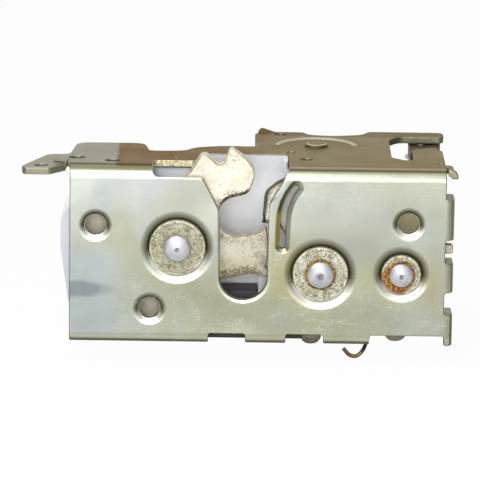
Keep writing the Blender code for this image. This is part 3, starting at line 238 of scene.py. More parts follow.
DIMPLE_FLOOR_R = 0.0031
DIMPLE_TOP_R = 0.0048
DIMPLE_DEPTH = 0.0009
SCREW_PLACES = ((-0.0414, 0.0258), (-0.0262, 0.0023), (0.0456, 0.0272))
SIDE_LEFT_BACK = 0.0340
SIDE_MIDDLE_BACK = 0.0312
SIDE_REAR = 0.0540
STRIP_BACK = 0.0560
STRIP_FRONT = 0.0490
WINDOW_LEFT = 0.0411
WINDOW_FRONT = 0.0136
WINDOW_WIDTH = 0.0061
FINGER_BACK = 0.0335
EAR_REACH = 0.0132
EAR_FRONT = -0.0047
EAR_BACK = 0.0157
FOLD_TAB_FRONT = -0.0002
FOLD_TAB_BACK = 0.0070
FOLD_TAB_RIGHT = 0.0032
FOLD_TAB_DROP = 0.0005
FOLD_BEND = 0.0022
MECHANISM_THICK = 0.0045
RELEASE_X = 0.0201
RELEASE_Y = 0.0316
SEAT_BACK = SHEET + DISH_DEPTH
MECHANISM_FRONT = SEAT_BACK + SEAT_GAP
MECHANISM_BACK = MECHANISM_FRONT + MECHANISM_THICK
PLATE_TOP = FACE_TOP + TOP_BEND
NOTCH_FORK_BACK = MECHANISM_BACK + 0.0006
CUT_ROLL = 0.0003
EDGE = "edge"
WALL = "wall"
FACING = "facing"


def arc(x, y, radius, start, end, steps):
    """Points along a circle, from one angle in degrees to another."""
    points = []
    for i in range(steps + 1):
        angle = math.radians(start + (end - start) * i / steps)
        points.append((x + radius * math.cos(angle), y + radius * math.sin(angle)))
    return points


def rounded(corners, steps=3):
    """An outline whose corners, given as (x, y, radius), are rounded."""
    outline = []
    for i, (x, y, radius) in enumerate(corners):
        corner = Vector((x, y))
        back = Vector(corners[i - 1][:2]) - corner
        ahead = Vector(corners[(i + 1) % len(corners)][:2]) - corner
        half = back.angle(ahead) / 2
        if radius <= 0 or half > math.radians(89):
            outline.append((x, y))
            continue
        reach = min(radius / math.tan(half), 0.45 * back.length, 0.45 * ahead.length)
        fitted = reach * math.tan(half)
        back.normalize()
        ahead.normalize()
        centre = corner + (back + ahead).normalized() * (fitted / math.sin(half))
        first = corner + back * reach - centre
        turn = first.angle_signed(corner + ahead * reach - centre)
        for k in range(steps + 1):
            angle = -turn * k / steps
            spoke = Vector((first.x * math.cos(angle) - first.y * math.sin(angle),
                            first.x * math.sin(angle) + first.y * math.cos(angle)))
            outline.append(tuple(centre + spoke))
    return outline


def ribbon(path, half, steps=4):
    """The outline of a strip with round ends that follows a path."""
    left, right = [], []
    for i, (x, y) in enumerate(path):
        before = Vector(path[max(i - 1, 0)])
        after = Vector(path[min(i + 1, len(path) - 1)])
        along = (after - before).normalized()
        left.append((x - along.y * half, y + along.x * half))
        right.append((x + along.y * half, y - along.x * half))
    first = Vector(path[1]) - Vector(path[0])
    last = Vector(path[-1]) - Vector(path[-2])
    tail = math.degrees(math.atan2(first.y, first.x))
    nose = math.degrees(math.atan2(last.y, last.x))
    end = arc(path[-1][0], path[-1][1], half, nose - 90, nose + 90, steps)
    start = arc(path[0][0], path[0][1], half, tail + 90, tail + 270, steps)
    return right[:-1] + end + left[-2:0:-1] + start[:-1]


def inside(x, y, outline):
    """Whether a point lies inside an outline."""
    within = False
    for i, (ax, ay) in enumerate(outline):
        bx, by = outline[i - 1]
        if (ay > y) != (by > y) and x < (bx - ax) * (y - ay) / (by - ay) + ax:
            within = not within
    return within


def to_path(x, y, path):
    """The distance from a point to a path."""
    best = 1.0
    for (ax, ay), (bx, by) in zip(path, path[1:]):
        dx, dy = bx - ax, by - ay
        t = max(0.0, min(1.0, ((x - ax) * dx + (y - ay) * dy) / (dx * dx + dy * dy)))
        best = min(best, math.hypot(x - ax - t * dx, y - ay - t * dy))
    return best


def triangulate(outline, holes=(), loops=(), lines=()):
    """Triangles of a flat blank with holes; loops and lines become edges of the mesh."""
    points, edges = [], []
    for loop in (outline, *holes, *loops):
        start = len(points)
        points += [Vector(p) for p in loop]
        edges += [(start + i, start + (i + 1) % len(loop)) for i in range(len(loop))]
    for line in lines:
        start = len(points)
        points += [Vector(p) for p in line]
        edges += [(start + i, start + i + 1) for i in range(len(line) - 1)]
    flat, _, faces, _, _, _ = delaunay_2d_cdt(points, edges, [], 0, 1e-7)
    kept = []
    for face in faces:
        x = sum(flat[i].x for i in face) / 3
        y = sum(flat[i].y for i in face) / 3
        if inside(x, y, outline) and not any(inside(x, y, hole) for hole in holes):
            kept.append(tuple(face))
    return [(p.x, p.y) for p in flat], kept


def rim_of(flat, faces):
    """For each point on a cut edge of the flat mesh: the next one, and the way out of the metal."""
    ways = {}
    for face in faces:
        for a, b in zip(face, face[1:] + face[:1]):
            ways[(a, b)] = True
    after = {a: b for a, b in ways if (b, a) not in ways}
    before = {b: a for a, b in after.items()}
    out = {}
    for i in after:
        sides = []
        for a, b in ((before[i], i), (i, after[i])):
            along = (Vector(flat[b]) - Vector(flat[a])).normalized()
            sides.append(Vector((along.y, -along.x)))
        mean = (sides[0] + sides[1]).normalized()
        out[i] = mean / max(0.6, mean.dot(sides[0]))
    return after, out


def rolled_sheet(flat, faces, place, thick, roll=CUT_ROLL, steps=3, marks=None):
    """A closed sheet with rolled cut edges. Its edge attribute goes up to 1 over the roll, its
    facing attribute tells how far a cut faces up, and the marks are others that follow the place."""
    faces = [f if turn_of(flat, f) > 0 else f[::-1] for f in faces]
    after, out = rim_of(flat, faces)
    quarter = [(roll * (1 - math.sin(a)), roll * (1 - math.cos(a)))
               for a in (math.pi / 2 * k / steps for k in range(steps + 1))]
    rings = quarter + [(inset, thick - depth) for inset, depth in quarter[::-1]]
    mesh = bmesh.new()
    marks = marks or {}
    for name in (EDGE, FACING, *marks):
        if name not in mesh.verts.layers.float:
            mesh.verts.layers.float.new(name)
    edge = mesh.verts.layers.float[EDGE]
    facing = mesh.verts.layers.float[FACING]
    used = sorted({i for face in faces for i in face})
    skins = []
    for depth in (0.0, thick):
        skin = {}
        for i in used:
            spot = Vector(flat[i]) - out[i] * roll if i in out else Vector(flat[i])
            skin[i] = mesh.verts.new(place(spot.x, spot.y, depth))
            for name, value in marks.items():
                skin[i][mesh.verts.layers.float[name]] = value(spot.x, spot.y)
        skins.append(skin)
    rims = [skins[0]]
    for inset, depth in rings[1:-1]:
        ring = {}
        for i in after:
            spot = Vector(flat[i]) - out[i] * inset
            ring[i] = mesh.verts.new(place(spot.x, spot.y, depth))
            ring[i][edge] = 1.0 - inset / roll
            ring[i][facing] = out[i].normalized().y
        rims.append(ring)
    rims.append(skins[1])
    for a, b, c in faces:
        mesh.faces.new((skins[0][a], skins[0][b], skins[0][c]))
        mesh.faces.new((skins[1][c], skins[1][b], skins[1][a]))
    for one, two in zip(rims, rims[1:]):
        for a, b in after.items():
            mesh.faces.new((one[b], one[a], two[a], two[b]))
    bmesh.ops.recalc_face_normals(mesh, faces=mesh.faces[:])
    return mesh


def turn_of(flat, face):
    a, b, c = (flat[i] for i in face)
    return (b[0] - a[0]) * (c[1] - a[1]) - (b[1] - a[1]) * (c[0] - a[0])


def finished(name, mesh, look, body, slot, *nodes, smooth=40):
    """The piece as an object at the origin, smooth but for its sharp edges, in place of its nodes."""
    data = bpy.data.meshes.new(name)
    mesh.to_mesh(data)
    mesh.free()
    return settled(bpy.data.objects.new(name, data), look, body, slot, *nodes, smooth=smooth)


def settled(made, look, body, slot, *nodes, smooth=40):
    """Bakes a piece's modifiers with its normals, gives it its finish and lets it ride."""
    bpy.context.scene.collection.objects.link(made)
    made.data.shade_smooth()
    made.data.set_sharp_from_angle(angle=math.radians(smooth))
    weighted = made.modifiers.new("normals", "WEIGHTED_NORMAL")
    weighted.keep_sharp = True
    graph = bpy.context.evaluated_depsgraph_get()
    baked = bpy.data.meshes.new_from_object(made.evaluated_get(graph))
    made.modifiers.clear()
    made.data = baked
    made.data.materials.clear()
    made.data.materials.append(look)
    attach(made, body)
    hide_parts(*nodes)
    return made


TOP_RUN = math.pi / 2 * (TOP_BEND - SHEET / 2)
FLANGE_RUN = math.pi / 2 * (FLANGE_BEND - SHEET / 2)
LIP_RUN = math.pi / 2 * (LIP_BEND - SHEET / 2)
FOLD_RUN = math.pi / 2 * (FOLD_BEND - SHEET / 2)
FOLD_X = PLATE_RIGHT + FOLD_TAB_RIGHT - FOLD_BEND
RELIEF = 0.0004
EAR_ROOT = 0.0009


def side(y):
    """Where a depth of the side plate lies on the flat blank."""
    return FACE_TOP + TOP_RUN + y - TOP_BEND


def folded(start, bend, run, along, depth):
    """Place across and beyond a bend: distance out of the first plane, and along it."""
    if along < run:
        angle = along / run * math.pi / 2
        radius = bend - depth
        return start + radius * math.sin(angle), bend - radius * math.cos(angle)
    return start + bend - depth, bend + along - run


def place_on_plate(u, v, depth):
    """The place in space of a point of the blank, at a depth below its outer skin."""
    if u > FOLD_X and v > FACE_TOP:
        x, drop = folded(FOLD_X, FOLD_BEND, FOLD_RUN, u - FOLD_X, depth)
        return x, v - side(0), PLATE_TOP - drop
    if u < PLATE_LEFT - 1e-5 or (u > PLATE_RIGHT + 1e-5 and v > FACE_TOP):
        return u, v - side(0), PLATE_TOP - depth
    if v > FACE_TOP:
        z, y = folded(FACE_TOP, TOP_BEND, TOP_RUN, v - FACE_TOP, depth)
        return u, y, z
    if u > PLATE_RIGHT:
        x, y = folded(PLATE_RIGHT, FLANGE_BEND, FLANGE_RUN, u - PLATE_RIGHT, depth)
        return x, y, v
    if v < FACE_BOTTOM:
        z, y = folded(-FACE_BOTTOM, LIP_BEND, LIP_RUN, FACE_BOTTOM - v, depth)
        return u, y, -z
    return u, depth, v


LIPS = ((-0.0101, PLATE_LEFT), (0.0009, 0.0115), (0.0227, 0.0349))
FLANGE_TABS = ((-0.0074, 0.0013), (0.0081, 0.0157), (0.0230, 0.0339))


def blank_outline():
    """The outline of the flat blank, from the lower left corner round to the ear."""
    lip = FACE_BOTTOM - LIP_RUN - LIP_DEPTH + LIP_BEND
    flange = PLATE_RIGHT + FLANGE_RUN + FLANGE_DEPTH - FLANGE_BEND
    corners = [(PLATE_LEFT, lip, 0.002)]
    for i, ends in enumerate(LIPS):
        low, high = min(ends), max(ends)
        if i:
            corners += [(low - 0.0004, FACE_BOTTOM, 0.0006), (low, lip, 0.0014)]
        corners += [(high, lip, 0.0014), (high + 0.0004, FACE_BOTTOM, 0.0006)]
    for i, (low, high) in enumerate(FLANGE_TABS):
        if i:
            corners += [(PLATE_RIGHT, low - 0.0004, 0.0006), (flange, low, 0.0014)]
        else:
            corners += [(PLATE_RIGHT, FACE_BOTTOM, 0.0004), (PLATE_RIGHT + 0.0002, low, 0.0004),
                        (flange, low, 0.0014)]
        corners += [(flange, high, 0.0014), (PLATE_RIGHT, high + 0.0004, 0.0006)]
    return rounded(corners + right_edge() + rear_edge() + left_edge())


def right_edge():
    """The side plate's right edge, from the fold-down tab to the window."""
    tab = FOLD_X + FOLD_RUN + FOLD_TAB_DROP
    edge = PLATE_RIGHT - 0.0001
    finger = WINDOW_LEFT + WINDOW_WIDTH
    relief = side(TOP_BEND + 0.0005)
    return [
        (PLATE_RIGHT, relief, 0.0002), (PLATE_RIGHT + RELIEF, relief, 0.0002),
        (PLATE_RIGHT + RELIEF, side(FOLD_TAB_FRONT), 0.0002), (tab, side(FOLD_TAB_FRONT), 0.0006),
        (tab, side(FOLD_TAB_FRONT + 0.0012), 0.0005),
        (FOLD_X + 0.0006, side(FOLD_TAB_FRONT + 0.0020), 0.0005),
        (FOLD_X + 0.0006, side(FOLD_TAB_BACK - 0.0004), 0.0010), (edge, side(FOLD_TAB_BACK), 0.0004),
        (edge, side(FINGER_BACK - 0.0053), 0.0006), (edge - 0.0013, side(FINGER_BACK - 0.0051), 0.0004),
        (edge - 0.0015, side(FINGER_BACK), 0.0010), (finger + 0.0002, side(FINGER_BACK - 0.0040), 0.0008),
        (finger, side(WINDOW_FRONT), 0.0010), (WINDOW_LEFT + 0.0035, side(WINDOW_FRONT), 0.0015),
        (WINDOW_LEFT, side(WINDOW_FRONT + 0.0039), 0.0025),
        (WINDOW_LEFT, side(STRIP_FRONT - 0.0050), 0.0040),
        (WINDOW_LEFT + 0.0029, side(STRIP_FRONT), 0.0025),
    ]


def rear_edge():
    """The side plate's rear edge, from the strip past the release lever to the left."""
    strip = PLATE_RIGHT + 0.0011
    hump = SIDE_REAR - 0.0040
    left = RELEASE_X - 0.0174
    return [
        (strip, side(STRIP_FRONT), 0.0018), (strip, side(STRIP_BACK), 0.0018),
        (WINDOW_LEFT - 0.0057, side(STRIP_BACK), 0.0015),
        (WINDOW_LEFT - 0.0077, side(hump + 0.0010), 0.0050),
        (RELEASE_X + 0.0049, side(hump - 0.0012), 0.0200), (RELEASE_X - 0.0016, side(hump), 0.0050),
        (RELEASE_X - 0.0035, side(SIDE_REAR), 0.0015), (left + 0.0017, side(SIDE_REAR), 0.0012),
        (left, side(SIDE_REAR - 0.0035), 0.0015), (left, side(SIDE_REAR - 0.0140), 0.0015),
        (left + 0.0012, side(SIDE_REAR - 0.0180), 0.0010), (left + 0.0009, side(SIDE_MIDDLE_BACK), 0.0015),
    ]


def left_edge():
    """The side plate's rear edge behind the notch, its left part and the ear."""
    waist = NOTCH_BACK + 0.0028
    ear = PLATE_LEFT - EAR_REACH
    root = side(TOP_BEND + 0.0009)
    return [
        (-0.0070, side(SIDE_MIDDLE_BACK), 0.0100), (-0.0142, side(SIDE_MIDDLE_BACK - 0.0027), 0.0040),
        (-0.0172, side(waist + 0.0008), 0.0040), (NOTCH_LEFT - 0.0012, side(waist), 0.0020),
        (NOTCH_LEFT - 0.0026, side(SIDE_LEFT_BACK), 0.0036),
        (PLATE_LEFT + 0.0008, side(SIDE_LEFT_BACK), 0.0040),
        (PLATE_LEFT - 0.0006, side(EAR_BACK + 0.0003), 0.0025),
        (PLATE_LEFT - 0.0066, side(EAR_BACK), 0.0030),
        (ear + 0.0020, side(EAR_FRONT + 0.0082), 0.0060), (ear, side(EAR_FRONT + 0.0025), 0.0016),
        (ear + 0.0007, side(EAR_FRONT), 0.0010), (ear + 0.0079, side(EAR_FRONT), 0.0016),
        (PLATE_LEFT - EAR_ROOT, side(EAR_FRONT + 0.0059), 0.0010),
        (PLATE_LEFT - EAR_ROOT, root, 0.0003), (PLATE_LEFT, root, 0.0003),
    ]


def throat_outline():
    """The throat and the notch above it, cut through the face, the bend and the side plate."""
    left, right = -THROAT_HALF - 0.0002, THROAT_HALF - 0.0002
    bottom = arc(-0.0002, THROAT_ROUND_Z, THROAT_HALF, 180, 360, 40)
    above = rounded([
        (right + 0.0003, THROAT_KNEE_Z, 0.0030), (NOTCH_RIGHT, FACE_TOP + 0.0028, 0.0020),
        (NOTCH_RIGHT - 0.0002, side(NOTCH_BACK), NOTCH_CORNER),
        (-0.0128, side(NOTCH_BACK), NOTCH_CORNER),
        (-0.0134, side(NOTCH_FORK_BACK), NOTCH_CORNER),
        (NOTCH_LEFT, side(NOTCH_FORK_BACK), NOTCH_CORNER),
        (NOTCH_LEFT + 0.0003, NOTCH_FACE_Z, 0.0014),
        (-0.0118, NOTCH_FACE_Z, 0.0010), (left - 0.0002, THROAT_KNEE_Z - 0.0018, 0.0040),
        (left, THROAT_ROUND_Z, 0), (right, THROAT_ROUND_Z, 0),
    ])
    return bottom[1:-1] + above[:-2] + [bottom[0]]


THROAT_PATH = [(-0.0002, THROAT_ROUND_Z), (-0.0002, THROAT_KNEE_Z - 0.0010)]
THROAT_LIP = 0.0012
THROAT_DRAW = 0.00035
SLOT_PATH = [(0.0106, 0.0206), (0.0107, 0.0258), (0.0109, 0.0296), (0.0117, 0.0326),
             (0.0129, 0.0351), (0.0143, 0.0371)]
SLOT_HALF = 0.00085
SLOT_RIM = 0.0014
SLOT_DRAW = 0.0008
BOSS_R = 0.0036
BOSS_WALL = 0.0009
BOSS_RISE = 0.0010
RIB_R = 0.0113
RIB_HALF = 0.0009
RIB_RISE = 0.0006
RIB_HIGHLIGHT = -0.28

SEATS = (
    (FORK_X, FORK_Z, FORK_WASHER_R + 0.00015), (PAWL_X, PAWL_Z, PAWL_WASHER_R + 0.00015),
    (LOCK_X, LOCK_Z, LOCK_WASHER_R + 0.00015),
)
SIDE_HOLES = (
    (PLATE_LEFT + 0.0016, 0.0117, 0.0023), (PLATE_LEFT + 0.0116, 0.0078, 0.0021),
    (PLATE_LEFT - 0.0079, EAR_FRONT + 0.0042, 0.0019), (PLATE_LEFT + 0.0006, EAR_BACK + 0.0015, 0.0005),
    (NOTCH_RIGHT + 0.0050, 0.0128, 0.0018), (NOTCH_RIGHT + 0.0006, 0.0231, 0.0013),
    (RELEASE_X - 0.0101, SIDE_REAR - 0.0035, 0.0018), (NOTCH_LEFT + 0.0063, 0.0130, 0.0011),
    (PLATE_RIGHT - 0.0014, 0.0088, 0.0008),
)
CURL_RIGHT = 0.0085
CURL_FRONT = 0.0515
CURL_RISE = 0.0011
PAD_X = PLATE_LEFT - 0.0024
PAD_Y = 0.0040
PAD_HALF_X = 0.0017
PAD_HALF_Y = 0.0027
PAD_RISE = 0.0007
PAD_WALL = 0.0006


def rib_path():
    return [(x, side(0) + y) for x, y in arc(RELEASE_X, RELEASE_Y, RIB_R, 12, 168, 12)]


def eased(t):
    """A share from 0 to 1 that starts and ends softly, as pressed steel does."""
    t = min(1.0, max(0.0, t))
    return t * t * (3 - 2 * t)


def pressed(u, v):
    """How far the press pushes the sheet in at a point of the blank."""
    for x, z, floor in SEATS:
        d = math.hypot(u - x, v - z)
        if d < floor + DISH_WALL:
            return DISH_DEPTH * min(1.0, (floor + DISH_WALL - d) / DISH_WALL) ** 2
    for x, z in SCREW_PLACES:
        d = math.hypot(u - x, v - z)
        if d < DIMPLE_TOP_R:
            return DIMPLE_DEPTH * min(1.0, (DIMPLE_TOP_R - d) / (DIMPLE_TOP_R - DIMPLE_FLOOR_R)) ** 2
    if v < FACE_TOP:
        d = to_path(u, v, THROAT_PATH) - THROAT_HALF
        if d < THROAT_LIP and v < THROAT_KNEE_Z:
            return THROAT_DRAW * (1 - max(d, 0.0) / THROAT_LIP) ** 2 * eased((THROAT_KNEE_Z - v) / 0.0040)
        d = to_path(u, v, SLOT_PATH) - SLOT_HALF
        return SLOT_DRAW * eased(1 - max(d, 0.0) / SLOT_RIM)
    out = max(abs(u - PAD_X) - PAD_HALF_X, abs(v - side(PAD_Y)) - PAD_HALF_Y)
    if out < PAD_WALL:
        return -PAD_RISE * eased((PAD_WALL - out) / PAD_WALL)
    if u < CURL_RIGHT and v > side(CURL_FRONT):
        return -CURL_RISE * eased((v - side(CURL_FRONT)) / 0.0020)
    d = math.hypot(u - RELEASE_X, v - side(RELEASE_Y))
    if d < BOSS_R:
        return -BOSS_RISE * eased((BOSS_R - d) / BOSS_WALL)
    d = to_path(u, v, rib_path())
    if d < RIB_HALF:
        return -RIB_RISE * (0.5 + 0.5 * math.cos(d / RIB_HALF * math.pi))
    return 0.0


def steepness(u, v):
    """How steep the pressed form is at a point of the blank, from -1 to 1. It is negative on the
    walls that face up, which take a painted highlight, and positive on the others, which take painted
    shade.
    """
    if v > FACE_TOP + TOP_RUN:
        if to_path(u, v, rib_path()) < RIB_HALF * 0.9:
            return RIB_HIGHLIGHT
        climbed = (BOSS_R - math.hypot(u - RELEASE_X, v - side(RELEASE_Y))) / BOSS_WALL
        if 0.1 < climbed < 0.6:
            return 1.0
        return 2 * RIB_HIGHLIGHT if 0.9 < climbed < 1.1 else 0.0
    step = 0.0001
    across = pressed(u + step, v) - pressed(u - step, v)
    upward = pressed(u, v + step) - pressed(u, v - step)
    slope = math.hypot(across, upward)
    if slope < 1e-9:
        return 0.0
    facing = upward / slope
    if to_path(u, v, SLOT_PATH) < SLOT_HALF + SLOT_RIM:
        return min(1.0, slope / (2 * step)) * (1 - max(0.0, facing)) * (0.55 + 0.4 * across / slope)
    if to_path(u, v, THROAT_PATH) < THROAT_HALF + THROAT_LIP:
        return -min(1.0, slope / (2 * step)) * (0.4 + max(0.0, facing))
    return min(1.0, slope / (2 * step)) * (0.9 - 1.9 * eased(facing * 1.6))


def ring(x, y, radius, steps):
    return arc(x, y, radius, 0, 360 - 360 / steps, steps - 1)


def latch_plate_mesh():
    holes = [throat_outline(), ribbon(SLOT_PATH, SLOT_HALF, 8)]
    loops = [ribbon(SLOT_PATH, SLOT_HALF + SLOT_RIM * t, 8) for t in (0.25, 0.4, 0.55, 0.7, 0.85, 1.0)]
    loops += [ribbon(THROAT_PATH, THROAT_HALF + THROAT_LIP * t, 24) for t in (0.3, 0.5, 0.75, 1.0)]
    for x, z, floor in SEATS:
        holes.append(ring(x, z, STUD_NECK_R + SEAT_GAP, 32))
        loops += [ring(x, z, floor + DISH_WALL * t, 72)
                  for t in (-0.01, 0.03, 0.1, 0.2, 0.3, 0.42, 0.55, 0.7, 0.85, 1)]
    for x, z in SCREW_PLACES:
        holes.append(ring(x, z, SCREW_HOLE_R, 48))
        wall = DIMPLE_TOP_R - DIMPLE_FLOOR_R
        loops += [ring(x, z, DIMPLE_FLOOR_R + wall * t, 48) for t in (0, 0.2, 0.4, 0.6, 0.8, 1)]
    for x, y, radius in SIDE_HOLES:
        holes.append(ring(x, side(y), radius, 32))
    loops += [ring(RELEASE_X, side(RELEASE_Y), BOSS_R - BOSS_WALL * t, 48)
              for t in (0, 0.25, 0.5, 0.75, 1, 1.3)]
    loops += [ribbon(rib_path(), RIB_HALF * t) for t in (0.33, 0.66, 1.0)]
    for wall in (0, PAD_WALL * 0.5, PAD_WALL):
        left, right = PAD_X - PAD_HALF_X - wall, PAD_X + PAD_HALF_X + wall
        front, back = side(PAD_Y) - PAD_HALF_Y - wall, side(PAD_Y) + PAD_HALF_Y + wall
        loops.append([(left, front), (right, front), (right, back), (left, back)])
    reach = 0.0003
    curl = side(CURL_FRONT)
    lines = [rib_path(), [(CURL_RIGHT, side(SIDE_REAR) + reach), (CURL_RIGHT, curl)]]
    for t in (0, 0.0005, 0.0010, 0.0015, 0.0020):
        lines.append([(RELEASE_X - 0.0174 - reach, curl + t), (CURL_RIGHT, curl + t)])
    for i in range(BEND_STEPS + 1):
        v = FACE_TOP + TOP_RUN * i / BEND_STEPS
        lines.append([(PLATE_LEFT - reach, v), (PLATE_RIGHT + reach, v)])
        v = FACE_BOTTOM - LIP_RUN * i / BEND_STEPS
        lines.append([(PLATE_LEFT - reach, v), (LIPS[-1][1] + reach, v)])
        u = PLATE_RIGHT + FLANGE_RUN * i / BEND_STEPS
        lines.append([(u, FLANGE_TABS[0][0] - reach), (u, FLANGE_TABS[-1][1] + reach)])
        u = FOLD_X + FOLD_RUN * i / BEND_STEPS
        lines.append([(u, side(FOLD_TAB_FRONT) - reach), (u, side(FOLD_TAB_BACK) + reach)])
    flat, faces = triangulate(blank_outline(), holes, loops, lines)
    return rolled_sheet(flat, faces, lambda u, v, depth: place_on_plate(u, v, pressed(u, v) + depth), SHEET,
                        marks={WALL: steepness})


def times(first, *others):
    for other in others:
        first = calc("MULTIPLY", first, other)
    return first


def plus(first, second):
    return calc("ADD", first, second)


def minus(first, second):
    return calc("SUBTRACT", first, second)


def vector(operation, first, second):
    return put(first.id_data, "ShaderNodeVectorMath", {0: first, 1: second}, operation=operation).outputs[0]


def length(way):
    return put(way.id_data, "ShaderNodeVectorMath", {0: way}, operation="LENGTH").outputs["Value"]


def parts(where):
    return put(where.id_data, "ShaderNodeSeparateXYZ", {0: where}).outputs


def mark(where, name):
    """The value of one of the mesh's own attributes."""
    return put(where.id_data, "ShaderNodeAttribute", attribute_name=name).outputs["Fac"]


def tint(share, first, second):
    """A colour between two others."""
    return put(share.id_data, "ShaderNodeMix", {0: share, 6: first, 7: second}, data_type="RGBA").outputs[2]


def window(value, low, high, start=0.0, end=1.0):
    """A value eased from start to end as another goes from low to high."""
    made = put(value.id_data, "ShaderNodeMapRange",
               {"Value": value, "From Min": low, "From Max": high, "To Min": start, "To Max": end})
    made.interpolation_type = "SMOOTHSTEP"
    return made.outputs[0]


def noise(where, scale, detail=2.0, rough=0.5, warp=0.0):
    made = put(where.id_data, "ShaderNodeTexNoise", {"Vector": where, "Scale": scale, "Detail": detail,
                                                     "Roughness": rough, "Distortion": warp})
    return made.outputs["Fac"]


def clouded(where, scale, start=0.0, end=1.0, detail=3.0, rough=0.5):
    """A value that goes softly from start to end and back all over a surface."""
    return window(noise(where, scale, detail, rough), 0.3, 0.7, start, end)


def effect(name, takes, gives):
    """A shader node group with named inputs and outputs."""
    group = bpy.data.node_groups.new(name, "ShaderNodeTree")
    for label, value in takes.items():
        kind = {3: "NodeSocketVector", 4: "NodeSocketColor"}.get(
            len(value) if isinstance(value, tuple) else 1, "NodeSocketFloat")
        group.interface.new_socket(label, in_out="INPUT", socket_type=kind).default_value = value
    for label, kind in gives.items():
        group.interface.new_socket(label, in_out="OUTPUT", socket_type=kind)
    return group, put(group, "NodeGroupInput").outputs


def give(group, **results):
    put(group, "NodeGroupOutput", results)


def spaced(values):
    """Values by the names that Blender's sockets have, with spaces."""
    return {label.replace("_", " "): value for label, value in values.items()}


def use(group, where, **values):
    """One use of an effect in a material, with this material's own values."""
    inputs = {"Where": where, **spaced(values)}
    return put(where.id_data, "ShaderNodeGroup", node_tree=group, inputs=inputs).outputs


# mottled plating: soft clouds between two colours, a third where it has gone thin, fine grain
mottle, taken = effect("mottle", {
    "Where": (0.0, 0.0, 0.0), "Cloud scale": 60.0, "Grain scale": 2500.0,
    "Main": (0.6, 0.6, 0.5, 1.0), "Cloud": (0.5, 0.5, 0.5, 1.0), "Thin": (0.4, 0.4, 0.3, 1.0)},
    {"Color": "NodeSocketColor", "Grain": "NodeSocketFloat"})
clouds = window(noise(taken["Where"], taken["Cloud scale"], 3.0, 0.55, 0.4), 0.40, 0.66)
spots = window(noise(taken["Where"], times(taken["Cloud scale"], 4.3), 4.0, 0.6), 0.52, 0.72)
grain = noise(taken["Where"], taken["Grain scale"], 3.0, 0.65)
plain = tint(clouds, taken["Main"], taken["Cloud"])
give(mottle, Color=tint(times(spots, 0.55), plain, taken["Thin"]), Grain=grain)

# specks: small pits and flecks, as many as the amount asks for
specks, taken = effect("specks", {"Where": (0.0, 0.0, 0.0), "Scale": 1500.0, "Amount": 0.3},
                       {"Mask": "NodeSocketFloat"})
field = noise(taken["Where"], taken["Scale"], 3.0, 0.7)
patch = noise(taken["Where"], times(taken["Scale"], 0.12), 2.0, 0.5)
level = plus(field, times(patch, 0.35))
start = minus(0.92, times(taken["Amount"], 0.30))
give(specks, Mask=window(level, start, plus(start, 0.06)))

# bloom ring: a bloom about a stud, strongest at its inner radius, broken up by noise; it marks rust, and a
# painted light patch on the rear plate
bloom_ring, taken = effect("bloom_ring", {"Where": (0.0, 0.0, 0.0), "Centre": (0.0, 0.0, 0.0),
                                        "Inner": 0.003, "Outer": 0.006, "Patchiness": 0.5},
                          {"Mask": "NodeSocketFloat"})
away = length(vector("MULTIPLY", vector("SUBTRACT", taken["Where"], taken["Centre"]), (1.0, 0.0, 1.0)))
share = put(bloom_ring, "ShaderNodeMapRange", {"Value": away, "From Min": taken["Inner"],
                                              "From Max": taken["Outer"], "To Min": 1.0, "To Max": 0.0})
broken = noise(taken["Where"], 900.0, 4.0, 0.65)
bite = times(minus(broken, 0.5), taken["Patchiness"])
give(bloom_ring, Mask=window(plus(share.outputs[0], bite), 0.25, 0.75))


def finish(name, **values):
    """A new material with some values of its shader, and its Object coordinates."""
    made, tree, shader = material(name)
    for label, value in spaced(values).items():
        fill(shader[label], value)
    return made, put(tree, "ShaderNodeTexCoord").outputs["Object"]


def paint(made, colour, rough, height, depth):
    """Gives a material its colour, its roughness and a relief of a real depth in metres."""
    shader = made.node_tree.nodes["Principled BSDF"].inputs
    bump = put(made.node_tree, "ShaderNodeBump", {"Height": height, "Distance": depth, "Strength": 1.0})
    fill(shader["Base Color"], colour)
    fill(shader["Roughness"], rough)
    fill(shader["Normal"], bump.outputs[0])
    return made


def oval(where, x, z, reach_x, reach_z, core=0.0, ragged=0.12):
    """1 in the core of an oval about a place on the face, and 0 beyond its reach."""
    way = vector("MULTIPLY", vector("SUBTRACT", where, (x, 0.0, z)), (1 / reach_x, 0.0, 1 / reach_z))
    return window(plus(length(way), clouded(where, 260.0, -ragged, ragged)), 1.0, core)


# each patch of the face: its place, its reach both ways, its colour and how much of it shows
FACE_PATCHES = (
    (-0.0345, 0.0225, 0.0100, 0.0090, (0.38, 0.37, 0.24), 0.45),
    (0.0105, 0.0000, 0.0110, 0.0095, (0.31, 0.325, 0.285), 0.85),
    (0.0310, 0.0310, 0.0150, 0.0100, (0.46, 0.49, 0.52), 0.30),
    (0.0350, 0.0020, 0.0150, 0.0110, (0.29, 0.30, 0.25), 0.60),
    (0.0530, 0.0100, 0.0095, 0.0160, (0.35, 0.31, 0.18), 0.60),
    (0.0300, 0.0210, 0.0130, 0.0080, (0.33, 0.345, 0.32), 0.60),
)


